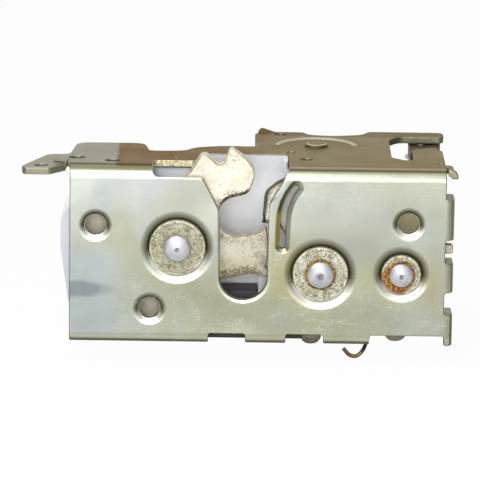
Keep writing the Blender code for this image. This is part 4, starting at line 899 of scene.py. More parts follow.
def chromated_steel():
    made, where = finish("chromated_steel", Metallic=0.75, Specular_Tint=(0.78, 0.75, 0.64))
    at = parts(where)
    height = window(at["Z"], 0.004, FACE_TOP)
    plating = use(mottle, where, Cloud_scale=42.0, Grain_scale=3200.0,
                  Main=tint(height, (0.315, 0.315, 0.215), (0.535, 0.56, 0.505)),
                  Cloud=tint(height, (0.35, 0.37, 0.31), (0.41, 0.44, 0.44)),
                  Thin=(0.38, 0.38, 0.28))
    rightwards = window(at["X"], -0.004, 0.040, 0.0, 0.5)
    colour = tint(rightwards, plating["Color"], (0.30, 0.30, 0.20))
    # slow changes of the chromate's hue, and fine streaks along the sheet
    bluer = window(noise(where, 31.0, 2.0, 0.5, 0.6), 0.50, 0.68, 0.0, 0.35)
    colour = tint(bluer, colour, (0.40, 0.46, 0.47))
    yellower = window(noise(where, 47.0, 2.0, 0.5, 0.4), 0.50, 0.68, 0.0, 0.40)
    colour = tint(yellower, colour, (0.44, 0.42, 0.25))
    beside_throat = times(window(at["X"], -0.001, 0.011), window(at["X"], 0.022, 0.012),
                          window(at["Z"], 0.026, 0.014, 0.0, 0.75))
    colour = tint(beside_throat, colour, (0.36, 0.34, 0.17))
    streak_way = vector("MULTIPLY", where, (0.22, 1.0, 1.3))
    streaked = window(noise(where, 70.0, 2.0), 0.45, 0.62, 0.02, 0.22)
    streaks = window(noise(streak_way, 1300.0, 5.0, 0.75, 0.8), 0.44, 0.66)
    colour = tint(times(streaks, streaked), colour, (0.68, 0.69, 0.58))
    dull = window(noise(where, 1500.0, 5.0, 0.75), 0.50, 0.68, 0.0, 0.20)
    colour = tint(dull, colour, (0.20, 0.20, 0.15))
    # a blue-grey cloud low on the left
    low_left = times(window(at["X"], -0.0290, -0.0400), window(at["Z"], 0.0230, 0.0150, 0.0, 0.75))
    colour = tint(low_left, colour, (0.36, 0.405, 0.43))
    cloud = oval(where, -0.0470, 0.0077, 0.0118, 0.0030, 0.50, 0.06)
    colour = tint(times(cloud, 0.8), colour, (0.185, 0.205, 0.225))
    for x, z, reach_x, reach_z, other, share in FACE_PATCHES:
        shown = times(oval(where, x, z, reach_x, reach_z), share)
        colour = tint(shown, colour, other)
    # side plate: a painted reflection, grey at the left, brown in the middle, tan at the right
    rise = minus(at["Z"], FACE_TOP)
    late = window(at["X"], -0.004, -0.014, 0.0, 0.0004)
    on_side = window(minus(rise, late), 0.0026, 0.0034)
    wavering = plus(at["X"], clouded(where, 420.0, -0.0004, 0.0004))
    brown = tint(window(wavering, -0.0364, -0.0350), (0.34, 0.335, 0.295), (0.160, 0.072, 0.007))
    brown = tint(window(at["X"], -0.006, 0.012), brown, (0.21, 0.158, 0.070))
    brown = tint(window(at["Y"], 0.045, 0.049, 0.0, 0.9), brown, (0.12, 0.080, 0.022))
    cloudy = clouded(where, 130.0, detail=4.0, rough=0.6)
    brown = tint(times(cloudy, 0.25), brown, (0.26, 0.22, 0.13))
    # painted reflection: a dark olive band over the top bend
    bend = window(rise, 0.0014, 0.0030)
    on_left = window(at["X"], -0.004, -0.014)
    colour = tint(bend, colour, tint(on_left, (0.25, 0.25, 0.15), (0.24, 0.245, 0.125)))
    colour = tint(on_side, colour, brown)
    # painted reflection lines on the top bend: a dark one where the bend begins, and a pale one behind it
    # on the right
    on_bend = times(window(at["Y"], TOP_BEND + 0.0004, TOP_BEND - 0.0003),
                    window(at["X"], PLATE_LEFT - 0.0004, PLATE_LEFT))
    line_rise = window(at["X"], 0.002, 0.010, 0.00370, 0.00295)
    off_line = calc("ABSOLUTE", minus(rise, line_rise))
    reflected_dark_line = times(window(off_line, 0.00026, 0.00008, 0.0, 0.75), on_bend)
    colour = tint(reflected_dark_line, colour, (0.07, 0.058, 0.025))
    off_pale = calc("ABSOLUTE", minus(rise, 0.00352))
    on_right = window(at["X"], 0.008, 0.014)
    reflected_pale_line = times(window(off_pale, 0.00024, 0.00010, 0.0, 0.85), on_bend)
    colour = tint(times(reflected_pale_line, on_right), colour, (0.36, 0.30, 0.25))
    # flange and lips: darker olive
    flange_and_lips = greater(window(at["X"], PLATE_RIGHT - 0.0002, PLATE_RIGHT + 0.0016),
                        window(at["Z"], FACE_BOTTOM + 0.0006, FACE_BOTTOM - 0.0024))
    flange_and_lips = times(flange_and_lips, minus(1.0, on_side))
    colour = tint(times(flange_and_lips, 0.75), colour, (0.40, 0.39, 0.26))
    # a painted highlight along the lower bend
    lip_highlight = times(window(at["Z"], FACE_BOTTOM - 0.0002, FACE_BOTTOM - 0.0010),
                     window(at["Z"], FACE_BOTTOM - 0.0024, FACE_BOTTOM - 0.0015, 0.0, 0.3))
    colour = tint(lip_highlight, colour, (0.66, 0.65, 0.50))
    # painted light on the pressed walls: a highlight on those that face up, shade on the others, and gold
    # by the slot
    walls = mark(where, WALL)
    wall_highlight = times(greater(times(walls, -1.6), 0.0), 0.9)
    wall_shade = calc("MINIMUM", times(greater(walls, 0.0), 1.5), 1.0)
    gold = vector("MULTIPLY", vector("SUBTRACT", where, (0.0088, 0.0, 0.0250)), (2.6, 0.0, 1.0))
    gold = window(length(gold), 0.0066, 0.0040, 0.0, 0.9)
    dirt_and_shade = tint(gold, (0.075, 0.068, 0.026), (0.36, 0.27, 0.05))
    colour = tint(wall_shade, colour, dirt_and_shade)
    colour = tint(wall_highlight, colour, (0.93, 0.93, 0.86))
    drawn_out = vector("MULTIPLY", where, (0.45, 1.0, 1.0))
    flecks = use(specks, drawn_out, Scale=3700.0, Amount=0.45)["Mask"]
    near_low = times(window(at["Z"], 0.016, 0.004, 0.0, 0.65), window(at["X"], -0.038, -0.028, 0.25, 1.0))
    bright = times(flecks, near_low)
    colour = tint(bright, colour, (0.85, 0.86, 0.76))
    edge = mark(where, EDGE)
    worn = times(edge, window(noise(where, 700.0, 3.0), 0.35, 0.6, 0.95, 0.6))
    # cut edges are bare and dark, and painted lighter on the side plate as painted light
    upper = window(at["Z"], FACE_TOP, FACE_TOP + 0.0010)
    bare = tint(upper, (0.17, 0.16, 0.09), (0.27, 0.26, 0.18))
    in_notch = times(window(at["X"], NOTCH_LEFT - 0.0012, NOTCH_LEFT - 0.0004),
                     window(at["X"], -0.0105, -0.0125))
    in_notch = times(in_notch, window(at["Y"], 0.0140, 0.0125), upper)
    speckled = window(noise(where, 1900.0, 3.0, 0.7), 0.42, 0.58)
    golden = tint(speckled, (0.40, 0.33, 0.16), (0.90, 0.84, 0.66))
    bare = tint(in_notch, bare, golden)
    bare = tint(gold, bare, (0.62, 0.42, 0.06))
    colour = tint(worn, colour, bare)
    rough = plus(clouded(where, 75.0, 0.28, 0.42, 4.0, 0.6), times(on_side, 0.12))
    bumps = plus(times(noise(where, 55.0, 1.0, 0.4), 6.0), plating["Grain"])
    return paint(made, colour, minus(rough, times(bright, 0.12)), bumps, 0.00001)


finished("plate_dressed", latch_plate_mesh(), chromated_steel(), "latch_body", "chromated_steel",
         "latch_plate")

# Rear plate.
# A flat steel plate behind the housing, plated as the latch plate is. The tails of the three
# studs are riveted in it, and it ties them together.

REAR_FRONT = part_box("rear_plate")[0][1]
REAR_PLATE = 0.0015


def hull(*circles, steps=8):
    """The outline that a belt would take round circles given as (x, y, radius)."""
    points = []
    for x, y, radius in circles:
        points += arc(x, y, radius, 0, 360 * (1 - 1 / (2 * steps)), 2 * steps - 1)
    points = sorted(set((round(x, 7), round(y, 7)) for x, y in points))

    def chain(ordered):
        side = []
        for p in ordered:
            while len(side) > 1 and ((side[-1][0] - side[-2][0]) * (p[1] - side[-2][1])
                                     <= (side[-1][1] - side[-2][1]) * (p[0] - side[-2][0])):
                side.pop()
            side.append(p)
        return side[:-1]

    return chain(points) + chain(points[::-1])


def shrunk(outline, inset):
    """An outline moved in by a small distance."""
    points = [Vector(p) for p in outline]
    moved = []
    for i, p in enumerate(points):
        ahead = (points[(i + 1) % len(points)] - p).normalized()
        behind = (p - points[i - 1]).normalized()
        along = (ahead + behind).normalized()
        moved.append(tuple(p + Vector((-along.y, along.x)) * inset))
    return [p for p in moved if to_path(*p, outline + outline[:1]) > inset * 0.95]


def toward(u, v, path):
    """How far up the way to the nearest point of a path leads, from -1 to 1."""
    step = 0.00005
    return (to_path(u, v - step, path) - to_path(u, v + step, path)) / (2 * step)


def slab_sheet(outline, holes, low, high, roll=CUT_ROLL, steps=3, fade=0.0):
    """A flat stamping from low to high along Y, with rolled edges. Its wall attribute falls
    from 1 at the edge to 0 at the fade distance, and its facing goes with it.
    """
    loops, marks = [], {}
    if fade:
        area = sum(a[0] * b[1] - b[0] * a[1] for a, b in zip(outline, outline[1:] + outline[:1]))
        outline = outline if area > 0 else outline[::-1]
        rim = outline + outline[:1]
        loops = [shrunk(outline, fade * t) for t in (0.15, 0.4, 0.7, 1.0)]
        marks = {WALL: lambda u, v: max(0.0, 1 - to_path(u, v, rim) / fade),
                 FACING: lambda u, v: toward(u, v, rim)}
    flat, faces = triangulate(outline, holes, loops)
    return rolled_sheet(flat, faces, lambda u, v, depth: (u, low + depth, v), high - low, roll, steps,
                        marks)


def back_steel():
    made, where = finish("back_steel", Metallic=0.4)
    plating = use(mottle, where, Cloud_scale=75.0, Grain_scale=3200.0,
                  Main=(0.52, 0.50, 0.36), Cloud=(0.46, 0.47, 0.41), Thin=(0.36, 0.31, 0.19))
    edge = mark(where, EDGE)
    colour = tint(times(edge, 0.7), plating["Color"], (0.20, 0.18, 0.10))
    # painted light: a pale patch on the front, where the plate shows in shade through the third screw hole
    lit_patch = use(bloom_ring, where, Centre=(SCREW_PLACES[2][0], 0.0, SCREW_PLACES[2][1] - 0.0048),
               Inner=0.0052, Outer=0.0064, Patchiness=0.2)["Mask"]
    lit_patch = times(lit_patch, window(parts(where)["Y"], REAR_FRONT + 0.0006, REAR_FRONT + 0.0003))
    colour = tint(lit_patch, colour, (0.96, 0.84, 0.50))
    return paint(made, colour, clouded(where, 90.0, 0.34, 0.50, 4.0, 0.6), plating["Grain"], 0.00001)


back_look = back_steel()
screw_x, screw_z = SCREW_PLACES[2]
middle_z = (FORK_Z + PAWL_Z) / 2
finished("rear_plate_dressed",
         slab_sheet(hull((FORK_X, FORK_Z, 0.0090), (PAWL_X, PAWL_Z, 0.0088), (LOCK_X, LOCK_Z, 0.0082),
                         (screw_x + 0.0003, screw_z - 0.0052, 0.0062), steps=24),
                    [ring(x, z, STUD_NECK_R + 0.0001, 32)
                     for x, z in ((FORK_X, FORK_Z), (PAWL_X, PAWL_Z), (LOCK_X, LOCK_Z))]
                    + [hull((-0.004, middle_z, 0.0032), (0.004, middle_z, 0.0032), steps=16)],
                    REAR_FRONT, REAR_FRONT + REAR_PLATE),
         back_look, "latch_body", "back_steel", "rear_plate")

# Housing.
# White moulded plastic behind the face. It has pockets for the mechanism, a recess that the
# striker runs into, and slots and grooves for its pins and clips.


def softened(node, width, body, slot, look, segments=3, angle=35, smooth=40):
    """A dressed copy of a node whose sharp corners are given the small radius of a real one."""
    mesh = bmesh.new()
    mesh.from_mesh(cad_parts[node].data)
    bmesh.ops.remove_doubles(mesh, verts=mesh.verts[:], dist=1e-6)
    bmesh.ops.dissolve_limit(mesh, angle_limit=math.radians(1.0), verts=mesh.verts[:], edges=mesh.edges[:])
    data = bpy.data.meshes.new(node + "_dressed")
    mesh.to_mesh(data)
    mesh.free()
    made = bpy.data.objects.new(node + "_dressed", data)
    round_off = made.modifiers.new("round_off", "BEVEL")
    round_off.width = width
    round_off.segments = segments
    round_off.limit_method = "ANGLE"
    round_off.angle_limit = math.radians(angle)
    return settled(made, look, body, slot, node, smooth=smooth)


def moulded(name, colour, shade, roughness, grain_depth, over=None, **values):
    """A moulded plastic or rubber with fine grain and faint clouds; over lays more on its colour."""
    made, where = finish(name, **values)
    cloud = use(mottle, where, Cloud_scale=55.0, Grain_scale=2400.0, Main=colour, Cloud=shade, Thin=shade)
    seen = over(where, cloud["Color"]) if over else cloud["Color"]
    rough = clouded(where, 240.0, roughness - 0.07, roughness + 0.10)
    return paint(made, seen, rough, cloud["Grain"], grain_depth)


def housing_colour(where, clean):
    """Brightened low in the throat as painted light, beige-grey behind the screw holes, and brown by the
    side window as painted shade.
    """
    at = parts(where)
    # painted light: deep in the recess the housing is brightened towards the bottom, where it lies in shade
    inner = tint(window(at["Z"], 0.040, 0.031), (0.57, 0.58, 0.61), (0.97, 0.97, 1.0))
    clean = tint(window(at["Y"], 0.0085, 0.0100), clean, inner)
    in_front = window(at["Y"], 0.0130, 0.0120)
    # beige-grey discs where the housing shows through the first two screw holes
    for x, z in SCREW_PLACES[:2]:
        behind_screw_hole = use(bloom_ring, where, Centre=(x, 0.0, z), Inner=0.0056, Outer=0.0064,
                    Patchiness=0.0)["Mask"]
        clean = tint(times(behind_screw_hole, in_front), clean, (0.80, 0.74, 0.60))
    # painted shade: brown on the housing by the side window
    shaded_by_window = times(window(at["X"], 0.030, 0.033), window(at["Y"], 0.0120, 0.0130))
    return tint(shaded_by_window, clean, (0.30, 0.24, 0.13))


softened("housing", 0.0003, "latch_body", "white_plastic",
         moulded("white_plastic", (0.52, 0.53, 0.57), (0.48, 0.49, 0.54), 0.34, 0.00002, housing_colour,
                 Coat_Weight=1.0, Coat_Roughness=0.12, Specular_IOR_Level=0.8))

# painted shade: near-black ledges behind the gaps between the bottom lips, a dark piece where there is only
# shade
LEDGE = 0.0010
LEDGE_LOW = FACE_BOTTOM - 0.0017
LEDGE_HIGH = FACE_BOTTOM + 0.0014
ARM_LEFT = 0.0168
ledge_shade_look = moulded("painted_shade_ledge", (0.016, 0.012, 0.004), (0.028, 0.022, 0.009), 0.60, 0.00002)
for name, left, right in (("left", LIPS[0][0], LIPS[1][0]), ("right", LIPS[1][1], ARM_LEFT)):
    left += SEAT_GAP
    right -= SEAT_GAP
    outline = [(left, LEDGE_LOW), (right, LEDGE_LOW), (right, LEDGE_HIGH), (left, LEDGE_HIGH)]
    finished("ledge_" + name, slab_sheet(outline, [], SHEET + SEAT_GAP, SHEET + SEAT_GAP + LEDGE),
             ledge_shade_look, "latch_body", "white_plastic")

# Buffer.
# A black rubber block pressed into the housing below the striker's path. It stops the striker
# softly when the door shuts.

buffer_look = moulded("buffer_rubber", (0.042, 0.040, 0.044), (0.10, 0.092, 0.105), 0.62, 0.00005)
softened("buffer_pad", 0.0004, "latch_body", "buffer_rubber", buffer_look, angle=20)

# Studs and washers.
# Each moving piece turns on a stepped steel stud with a domed head and a punch mark. Its neck
# passes a rough zinc washer in a dish of the face, and its tail is riveted behind.

STUD_HEAD_R = 0.0037
LOCK_HEAD_R = 0.0033
STUD_HEAD = 0.0017
STUD_SHAFT_R = 0.0040
PUNCH_R = 0.0005
PUNCH_DEPTH = 0.00035
PUNCH_SMEAR = 0.0003
TAIL_HEAD = 0.0016
WASHER_ROLL = 0.0004
WASHER_FRONT = DISH_DEPTH - SEAT_GAP - WASHER


def turned(profile, x, z, steps=72):
    """A turned solid from a profile of (radius, place along Y), about (x, z)."""
    mesh = bmesh.new()
    rings = []
    for radius, along in profile:
        spots = ring(x, z, radius, steps) if radius > 0 else [(x, z)]
        rings.append([mesh.verts.new((a, along, b)) for a, b in spots])
    pairs = list(zip(rings, rings[1:]))
    if profile[0][0] > 0:
        pairs.append((rings[-1], rings[0]))
    for one, two in pairs:
        for i in range(steps):
            j = (i + 1) % steps
            corners = [one[i % len(one)], one[j % len(one)], two[j % len(two)], two[i % len(two)]]
            mesh.faces.new(list(dict.fromkeys(corners)))
    bmesh.ops.recalc_face_normals(mesh, faces=mesh.faces[:])
    return mesh


def stud_mesh(x, z, head_r):
    face = WASHER_FRONT - SEAT_GAP
    crown = face - STUD_HEAD
    dome = []
    for i in range(16):
        angle = math.radians(9 + 81 * i / 15)
        dome.append((head_r * math.sin(angle), face - STUD_HEAD * (0.35 + 0.65 * math.cos(angle))))
    punch = [(0, crown + PUNCH_DEPTH), (PUNCH_R * 0.35, crown + PUNCH_DEPTH * 0.9),
             (PUNCH_R, crown - 0.00002)]
    body = [(head_r, face - 0.0002), (head_r - 0.0002, face), (STUD_NECK_R, face),
            (STUD_NECK_R, SEAT_BACK + SEAT_GAP), (STUD_SHAFT_R, SEAT_BACK + SEAT_GAP),
            (STUD_SHAFT_R, REAR_FRONT - SEAT_GAP)]
    behind = REAR_FRONT + REAR_PLATE
    end = [(STUD_NECK_R, REAR_FRONT - SEAT_GAP), (STUD_NECK_R, behind + SEAT_GAP),
           (STUD_SHAFT_R + 0.0002, behind + SEAT_GAP), (STUD_SHAFT_R + 0.0004, behind + 0.0006),
           (STUD_SHAFT_R, behind + 0.0011), (0.0031, behind + 0.0014), (0.0022, behind + TAIL_HEAD),
           (0, behind + TAIL_HEAD)]
    return turned(punch + dome[1:] + body + end, x, z)


def washer_mesh(radius, x, z):
    bore = STUD_NECK_R + SEAT_GAP
    back = WASHER_FRONT + WASHER
    front = [(radius - inset * WASHER_ROLL, WASHER_FRONT + drop * WASHER_ROLL)
             for inset, drop in ((1, 0), (0.4, 0.1), (0.1, 0.4), (0, 1))]
    return turned([(bore, WASHER_FRONT), *front, (radius, back), (bore, back)], x, z, steps=96)


def head_steel():
    """Bright headed steel, with turning marks and a dark smear below the punch mark."""
    made, where = finish("bright_steel", Metallic=0.7)
    cloud = use(mottle, where, Cloud_scale=420.0, Grain_scale=5200.0,
                Main=(0.52, 0.53, 0.54), Cloud=(0.42, 0.43, 0.47), Thin=(0.38, 0.37, 0.34))
    dirt_and_shade = use(specks, where, Scale=2300.0, Amount=0.34)["Mask"]
    colour = tint(times(dirt_and_shade, 0.6), cloud["Color"], (0.22, 0.17, 0.11))
    for x, z, reach in ((FORK_X, FORK_Z, 0.0010), (PAWL_X, PAWL_Z, 0.0019), (LOCK_X, LOCK_Z, 0.0011)):
        smear = use(bloom_ring, where, Centre=(x, 0.0, z - PUNCH_SMEAR), Inner=0.0001, Outer=reach,
                    Patchiness=1.3)["Mask"]
        colour = tint(times(smear, 0.7), colour, (0.13, 0.12, 0.11))
    return paint(made, colour, clouded(where, 600.0, 0.42, 0.56), cloud["Grain"], 0.000012)


def washer_zinc(name, x, z, radius, main, cloud, thin, torn_share, rust, inner, outer, broken, share, sag):
    """Rough zinc, torn and scratched, and rust that creeps out from under the stud's head and
    sags down to the left.
    """
    made, where = finish(name, Metallic=0.45)
    plating = use(mottle, where, Cloud_scale=330.0, Grain_scale=1900.0, Main=main, Cloud=cloud, Thin=thin)
    pits = use(specks, where, Scale=1700.0, Amount=0.42)["Mask"]
    colour = tint(times(pits, 0.7), plating["Color"], (0.16, 0.13, 0.08))
    way = vector("MULTIPLY", vector("SUBTRACT", where, (x, 0.0, z)), (1.0, 0.0, 1.0))
    off = length(way)
    turn = calc("ARCTAN2", parts(way)["Z"], parts(way)["X"])
    around = put(way.id_data, "ShaderNodeCombineXYZ", {0: off, 1: times(turn, 0.0014)}).outputs[0]
    scratched = noise(around, 1500.0, 5.0, 0.72, 1.6)
    torn = greater(window(scratched, 0.52, 0.58),
                   times(window(noise(where, 620.0, 6.0, 0.78, 2.2), 0.52, 0.60), 0.6))
    beside = times(window(scratched, 0.46, 0.50), window(scratched, 0.54, 0.51))
    colour = tint(times(beside, torn_share), colour, (0.34, 0.31, 0.08))
    colour = tint(times(torn, torn_share), colour, (0.92, 0.91, 0.82))
    # a painted highlight along the washer's rolled rim
    rim = window(off, radius - 0.00050, radius - 0.00022, 0.0, 0.75)
    colour = tint(rim, colour, (0.88, 0.86, 0.74))
    worn_off = window(noise(where, 700.0, 6.0, 0.76, 1.8), 0.52, 0.60)
    colour = tint(times(worn_off, 0.8), colour, (0.17, 0.14, 0.06))
    bloom = use(bloom_ring, where, Centre=(x, 0.0, z), Inner=inner, Outer=outer, Patchiness=broken)["Mask"]
    if sag:
        run_down = use(bloom_ring, where, Centre=(x - sag, 0.0, z - sag), Inner=inner, Outer=outer + 0.001,
                       Patchiness=1.6)["Mask"]
        bloom = greater(bloom, times(run_down, 0.95))
    orange = tint(window(noise(where, 1500.0, 3.0), 0.40, 0.60), (0.12, 0.06, 0.01), rust)
    height = plus(plus(plating["Grain"], noise(where, 620.0, 3.0, 0.6)), torn)
    return paint(made, tint(times(bloom, share), colour, orange), window(bloom, 0.0, 1.0, 0.40, 0.85),
                 minus(height, plus(pits, worn_off)), 0.00005)


head_look = head_steel()
# each stud: its name, place, washer's and head's radius, the washer's three colours of zinc and
# how torn it is, and its rust: colour, inner and outer radius, raggedness, share and sag
STUDS = (
    ("fork", FORK_X, FORK_Z, FORK_WASHER_R, STUD_HEAD_R,
     (0.37, 0.35, 0.24), (0.45, 0.43, 0.32), (0.22, 0.20, 0.11), 0.42,
     (0.45, 0.30, 0.08), 0.0032, 0.0044, 1.2, 0.45, 0.0),
    ("pawl", PAWL_X, PAWL_Z, PAWL_WASHER_R, STUD_HEAD_R,
     (0.42, 0.41, 0.30), (0.55, 0.55, 0.48), (0.24, 0.20, 0.10), 0.80,
     (0.52, 0.33, 0.06), 0.0039, 0.0050, 1.4, 0.95, 0.0),
    ("lock", LOCK_X, LOCK_Z, LOCK_WASHER_R, LOCK_HEAD_R,
     (0.34, 0.31, 0.20), (0.44, 0.40, 0.29), (0.25, 0.17, 0.07), 0.80,
     (0.62, 0.26, 0.04), 0.0034, 0.0044, 1.4, 0.95, 0.0014),
)
for name, x, z, washer_r, head_r, *zinc in STUDS:
    finished(name + "_stud_dressed", stud_mesh(x, z, head_r), head_look, "latch_body", "bright_steel",
             name + "_stud")
    finished(name + "_washer_dressed", washer_mesh(washer_r, x, z),
             washer_zinc(name + "_washer_zinc", x, z, washer_r, *zinc), "latch_body", "rough_zinc",
             name + "_washer")

# Fork.
# The rotating fork is stamped from thick steel and plated with cream zinc. The striker's bar
# enters its mouth, and it turns on the left stud; its stamped edges show brown where it is bare.

FORK_HUB_R = 0.0112
FORK_JAW_R = 0.0253
FORK_MOUTH_R = 0.0057
JAW_DEPTH = 0.0085
FORK_MOUTH_OUT = FORK_JAW_R - JAW_DEPTH
FORK_MOUTH_UP = 0.0083
RUNNING_GAP = 0.00035
STAMPING_ROLL = 0.00034


def polar(x, y, radius, angle):
    """A point at a radius and an angle in degrees from a centre."""
    return (x + radius * math.cos(math.radians(angle)), y + radius * math.sin(math.radians(angle)))


def fork_outline():
    """Hub, two teeth with a notch between, upper jaw and lower jaw."""
    def at(radius, angle, fillet):
        return (*polar(FORK_X, FORK_Z, radius, angle), fillet)

    mouth = arc(FORK_X + FORK_MOUTH_OUT, FORK_Z + FORK_MOUTH_UP, FORK_MOUTH_R, 100, 268, 28)
    upper = rounded([
        at(0.0116, 118, 0.006), at(0.0209, 81, 0.003), at(0.0277, 75.5, 0.0016),
        at(0.0249, 61.0, 0.0016), at(0.0314, 62.6, 0.0010), at(0.0312, 51.5, 0.0075),
        at(0.0300, 44.0, 0.0060), at(0.0247, 37.0, 0.0028), (*mouth[0], 0.0008),
    ], 8)
    jaw = rounded([
        (*mouth[-1], 0), at(FORK_JAW_R - 0.0049, 8.4, 0.004), at(FORK_JAW_R - 0.0021, 9.2, 0.002),
        at(FORK_JAW_R, 13.2, 0.0008), at(FORK_JAW_R, 6, 0), at(FORK_JAW_R, 0, 0),
        at(FORK_JAW_R, -7, 0), at(FORK_JAW_R, -13.5, 0.0005), at(FORK_JAW_R + 0.0011, -15.5, 0.0004),
        at(FORK_JAW_R + 0.0010, -19.6, 0.0008), at(FORK_JAW_R - 0.0027, -20.0, 0.006),
        at(FORK_JAW_R - JAW_DEPTH, -33.0, 0.006), at(FORK_HUB_R + 0.0020, -62.5, 0.006),
    ], 8)
    hub = arc(FORK_X, FORK_Z, FORK_HUB_R, 292, 122, 36)
    return upper + mouth[1:-1] + jaw + hub


def zinc_stamping(name, main, cloud, bare):
    """Cream zinc on a thick stamping, bare and brown in flecks near its cut edges."""
    made, where = finish(name, Metallic=0.45)
    plating = use(mottle, where, Cloud_scale=150.0, Grain_scale=2600.0,
                  Main=main, Cloud=cloud, Thin=(0.60, 0.54, 0.38))
    at = parts(where)
    # darker and greyer low down, on the jaw: the jaw's greyer zinc, and painted shade where it lies in the
    # throat
    low = window(at["Z"], 0.0275, 0.0235)
    colour = tint(times(low, 0.85), plating["Color"], (0.50, 0.47, 0.37))
    # grey behind the slot as painted shade, darker olive lower down, and dark on the arms where they stand
    # out below the plate as painted shade
    shaded_behind_slot = times(window(at["X"], 0.0090, 0.0098, 0.0, 0.85), window(at["X"], 0.024, 0.018))
    colour = tint(shaded_behind_slot, colour, (0.32, 0.325, 0.29))
    foot = window(at["Z"], 0.0185, 0.0135, 0.0, 0.55)
    colour = tint(foot, colour, (0.36, 0.32, 0.19))
    below = window(at["Z"], -0.0030, -0.0046)
    colour = tint(below, colour, (0.17, 0.16, 0.11))
    edge = mark(where, EDGE)
    close = mark(where, WALL)
    facing = mark(where, FACING)
    # painted shade on edges that face down: more and darker flecks there, and less brown on edges that face
    # up
    under = window(facing, -0.25, -0.75)
    upper = window(facing, 0.10, 0.60)
    near = times(greater(edge, close), plus(0.80, times(under, 0.85)))
    most = window(at["Z"], 0.0300, 0.0180, 0.76, 0.94)
    least = window(at["Z"], 0.0280, 0.0220, 0.30, 0.54)
    amount = plus(least, times(near, minus(most, least)))
    flecks = use(specks, where, Scale=3300.0, Amount=amount)["Mask"]
    rubbed = times(edge, window(noise(where, 380.0, 4.0, 0.65), 0.42, 0.66, 0.0, 0.8),
                   minus(1.0, times(upper, 0.8)))
    brown = tint(window(noise(where, 900.0, 2.0), 0.4, 0.6), bare, (0.42, 0.33, 0.17))
    speck = tint(under, (0.27, 0.23, 0.15), (0.15, 0.12, 0.06))
    share = greater(times(flecks, plus(0.68, times(under, 0.25))), rubbed)
    # the corner itself is worn through in a thin dark line
    corner = times(edge, minus(1.0, edge), window(noise(where, 210.0, 3.0), 0.40, 0.56, 0.6, 4.0))
    colour = tint(greater(share, corner), colour, tint(edge, speck, brown))
    # painted shade: a ragged dark line under the edges that face down
    under_edge_shade = greater(window(edge, 0.0, 0.25), window(close, 0.64, 0.76))
    under_edge_shade = times(under_edge_shade, under, window(at["Z"], 0.020, 0.024))
    ragged = window(noise(where, 520.0, 4.0, 0.7), 0.36, 0.50, 0.45, 1.0)
    colour = tint(times(under_edge_shade, ragged), colour, (0.050, 0.022, 0.004))
    height = plus(times(noise(where, 260.0, 2.0), 3.0), plating["Grain"])
    return paint(made, colour, window(flecks, 0.0, 1.0, 0.40, 0.7), minus(height, flecks), 0.00003)


cream_look = zinc_stamping("fork_zinc", (0.76, 0.73, 0.61), (0.66, 0.62, 0.49), (0.17, 0.10, 0.04))
finished("fork_dressed",
         slab_sheet(fork_outline(), [ring(FORK_X, FORK_Z, STUD_SHAFT_R + RUNNING_GAP, 48)],
                    MECHANISM_FRONT, MECHANISM_BACK, roll=STAMPING_ROLL, steps=5, fade=0.0030),
         cream_look, "fork_body", "fork_zinc", "fork")

# Pawl.
# The thick lever right of the throat that holds the fork. A black skin is moulded on its back
# to quiet it, and a steel pin riveted in it takes the release lever's push.

PAWL_PIN_R = 0.0020
PAWL_PIN_IN = 0.0043
PAWL_PIN_UP = 0.0199
PAWL_PIN_END = 0.0470
LOW_ARM = 0.0180
LOW_ARM_R = 0.00265
PAWL_PIN_X = PAWL_X - PAWL_PIN_IN
PAWL_PIN_Z = PAWL_Z + PAWL_PIN_UP


def pawl_outline(grow):
    """The pawl: hub, broad arm with the nose and lobe, and the short arm below."""
    def near_fork(radius, angle, fillet):
        return (*polar(FORK_X, FORK_Z, radius, angle), fillet)

    def out(x, z, fillet):
        return (PAWL_X + x + math.copysign(grow, x), PAWL_Z + z, fillet)

    nose_r = FORK_JAW_R + RUNNING_GAP - grow * 0.9
    arm = PAWL_X - 0.0024
    low = PAWL_Z - LOW_ARM - LOW_ARM_R - grow
    corners = [
        near_fork(nose_r, 15.3, 0.0003), near_fork(nose_r, 18.5, 0.001),
        out(-0.0152, 0.0183, 0.003), out(-0.0149, 0.0218, 0.0060),
        (PAWL_X - 0.0108, PAWL_Z + 0.0250 + grow, 0.0060), out(-0.0017, 0.0245 + grow, 0.004),
        out(0.0087, 0.0033, 0.008), out(0.0075, -0.0067, 0.008),
        (arm + LOW_ARM_R + 0.0006, PAWL_Z - 0.0157, 0.004), (arm + LOW_ARM_R, low, LOW_ARM_R),
        (arm - LOW_ARM_R, low, LOW_ARM_R), (arm - LOW_ARM_R - 0.0003, PAWL_Z - 0.0157, 0.004),
        out(-0.0083, -0.0047, 0.006), out(-0.0071, 0.0063, 0.006),
        near_fork(FORK_JAW_R + 0.0033, 14.0 - math.degrees(grow / FORK_JAW_R), 0.002),
    ]
    return rounded(corners, 8)


finished("pawl_dressed",
         slab_sheet(pawl_outline(0), [ring(PAWL_X, PAWL_Z, STUD_SHAFT_R + RUNNING_GAP, 48),
                                      ring(PAWL_PIN_X, PAWL_PIN_Z, PAWL_PIN_R + 0.0001, 32)],
                    MECHANISM_FRONT, MECHANISM_BACK, roll=STAMPING_ROLL, steps=5, fade=0.0020),
         cream_look, "pawl_body", "fork_zinc", "pawl")

SKIN_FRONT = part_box("pawl_overmould")[0][1]
SKIN_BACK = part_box("pawl_overmould")[1][1]
SKIN_GROW = 0.0008
SKIN_END = PAWL_Z - 0.0107
HOOK_TOP = 0.0275


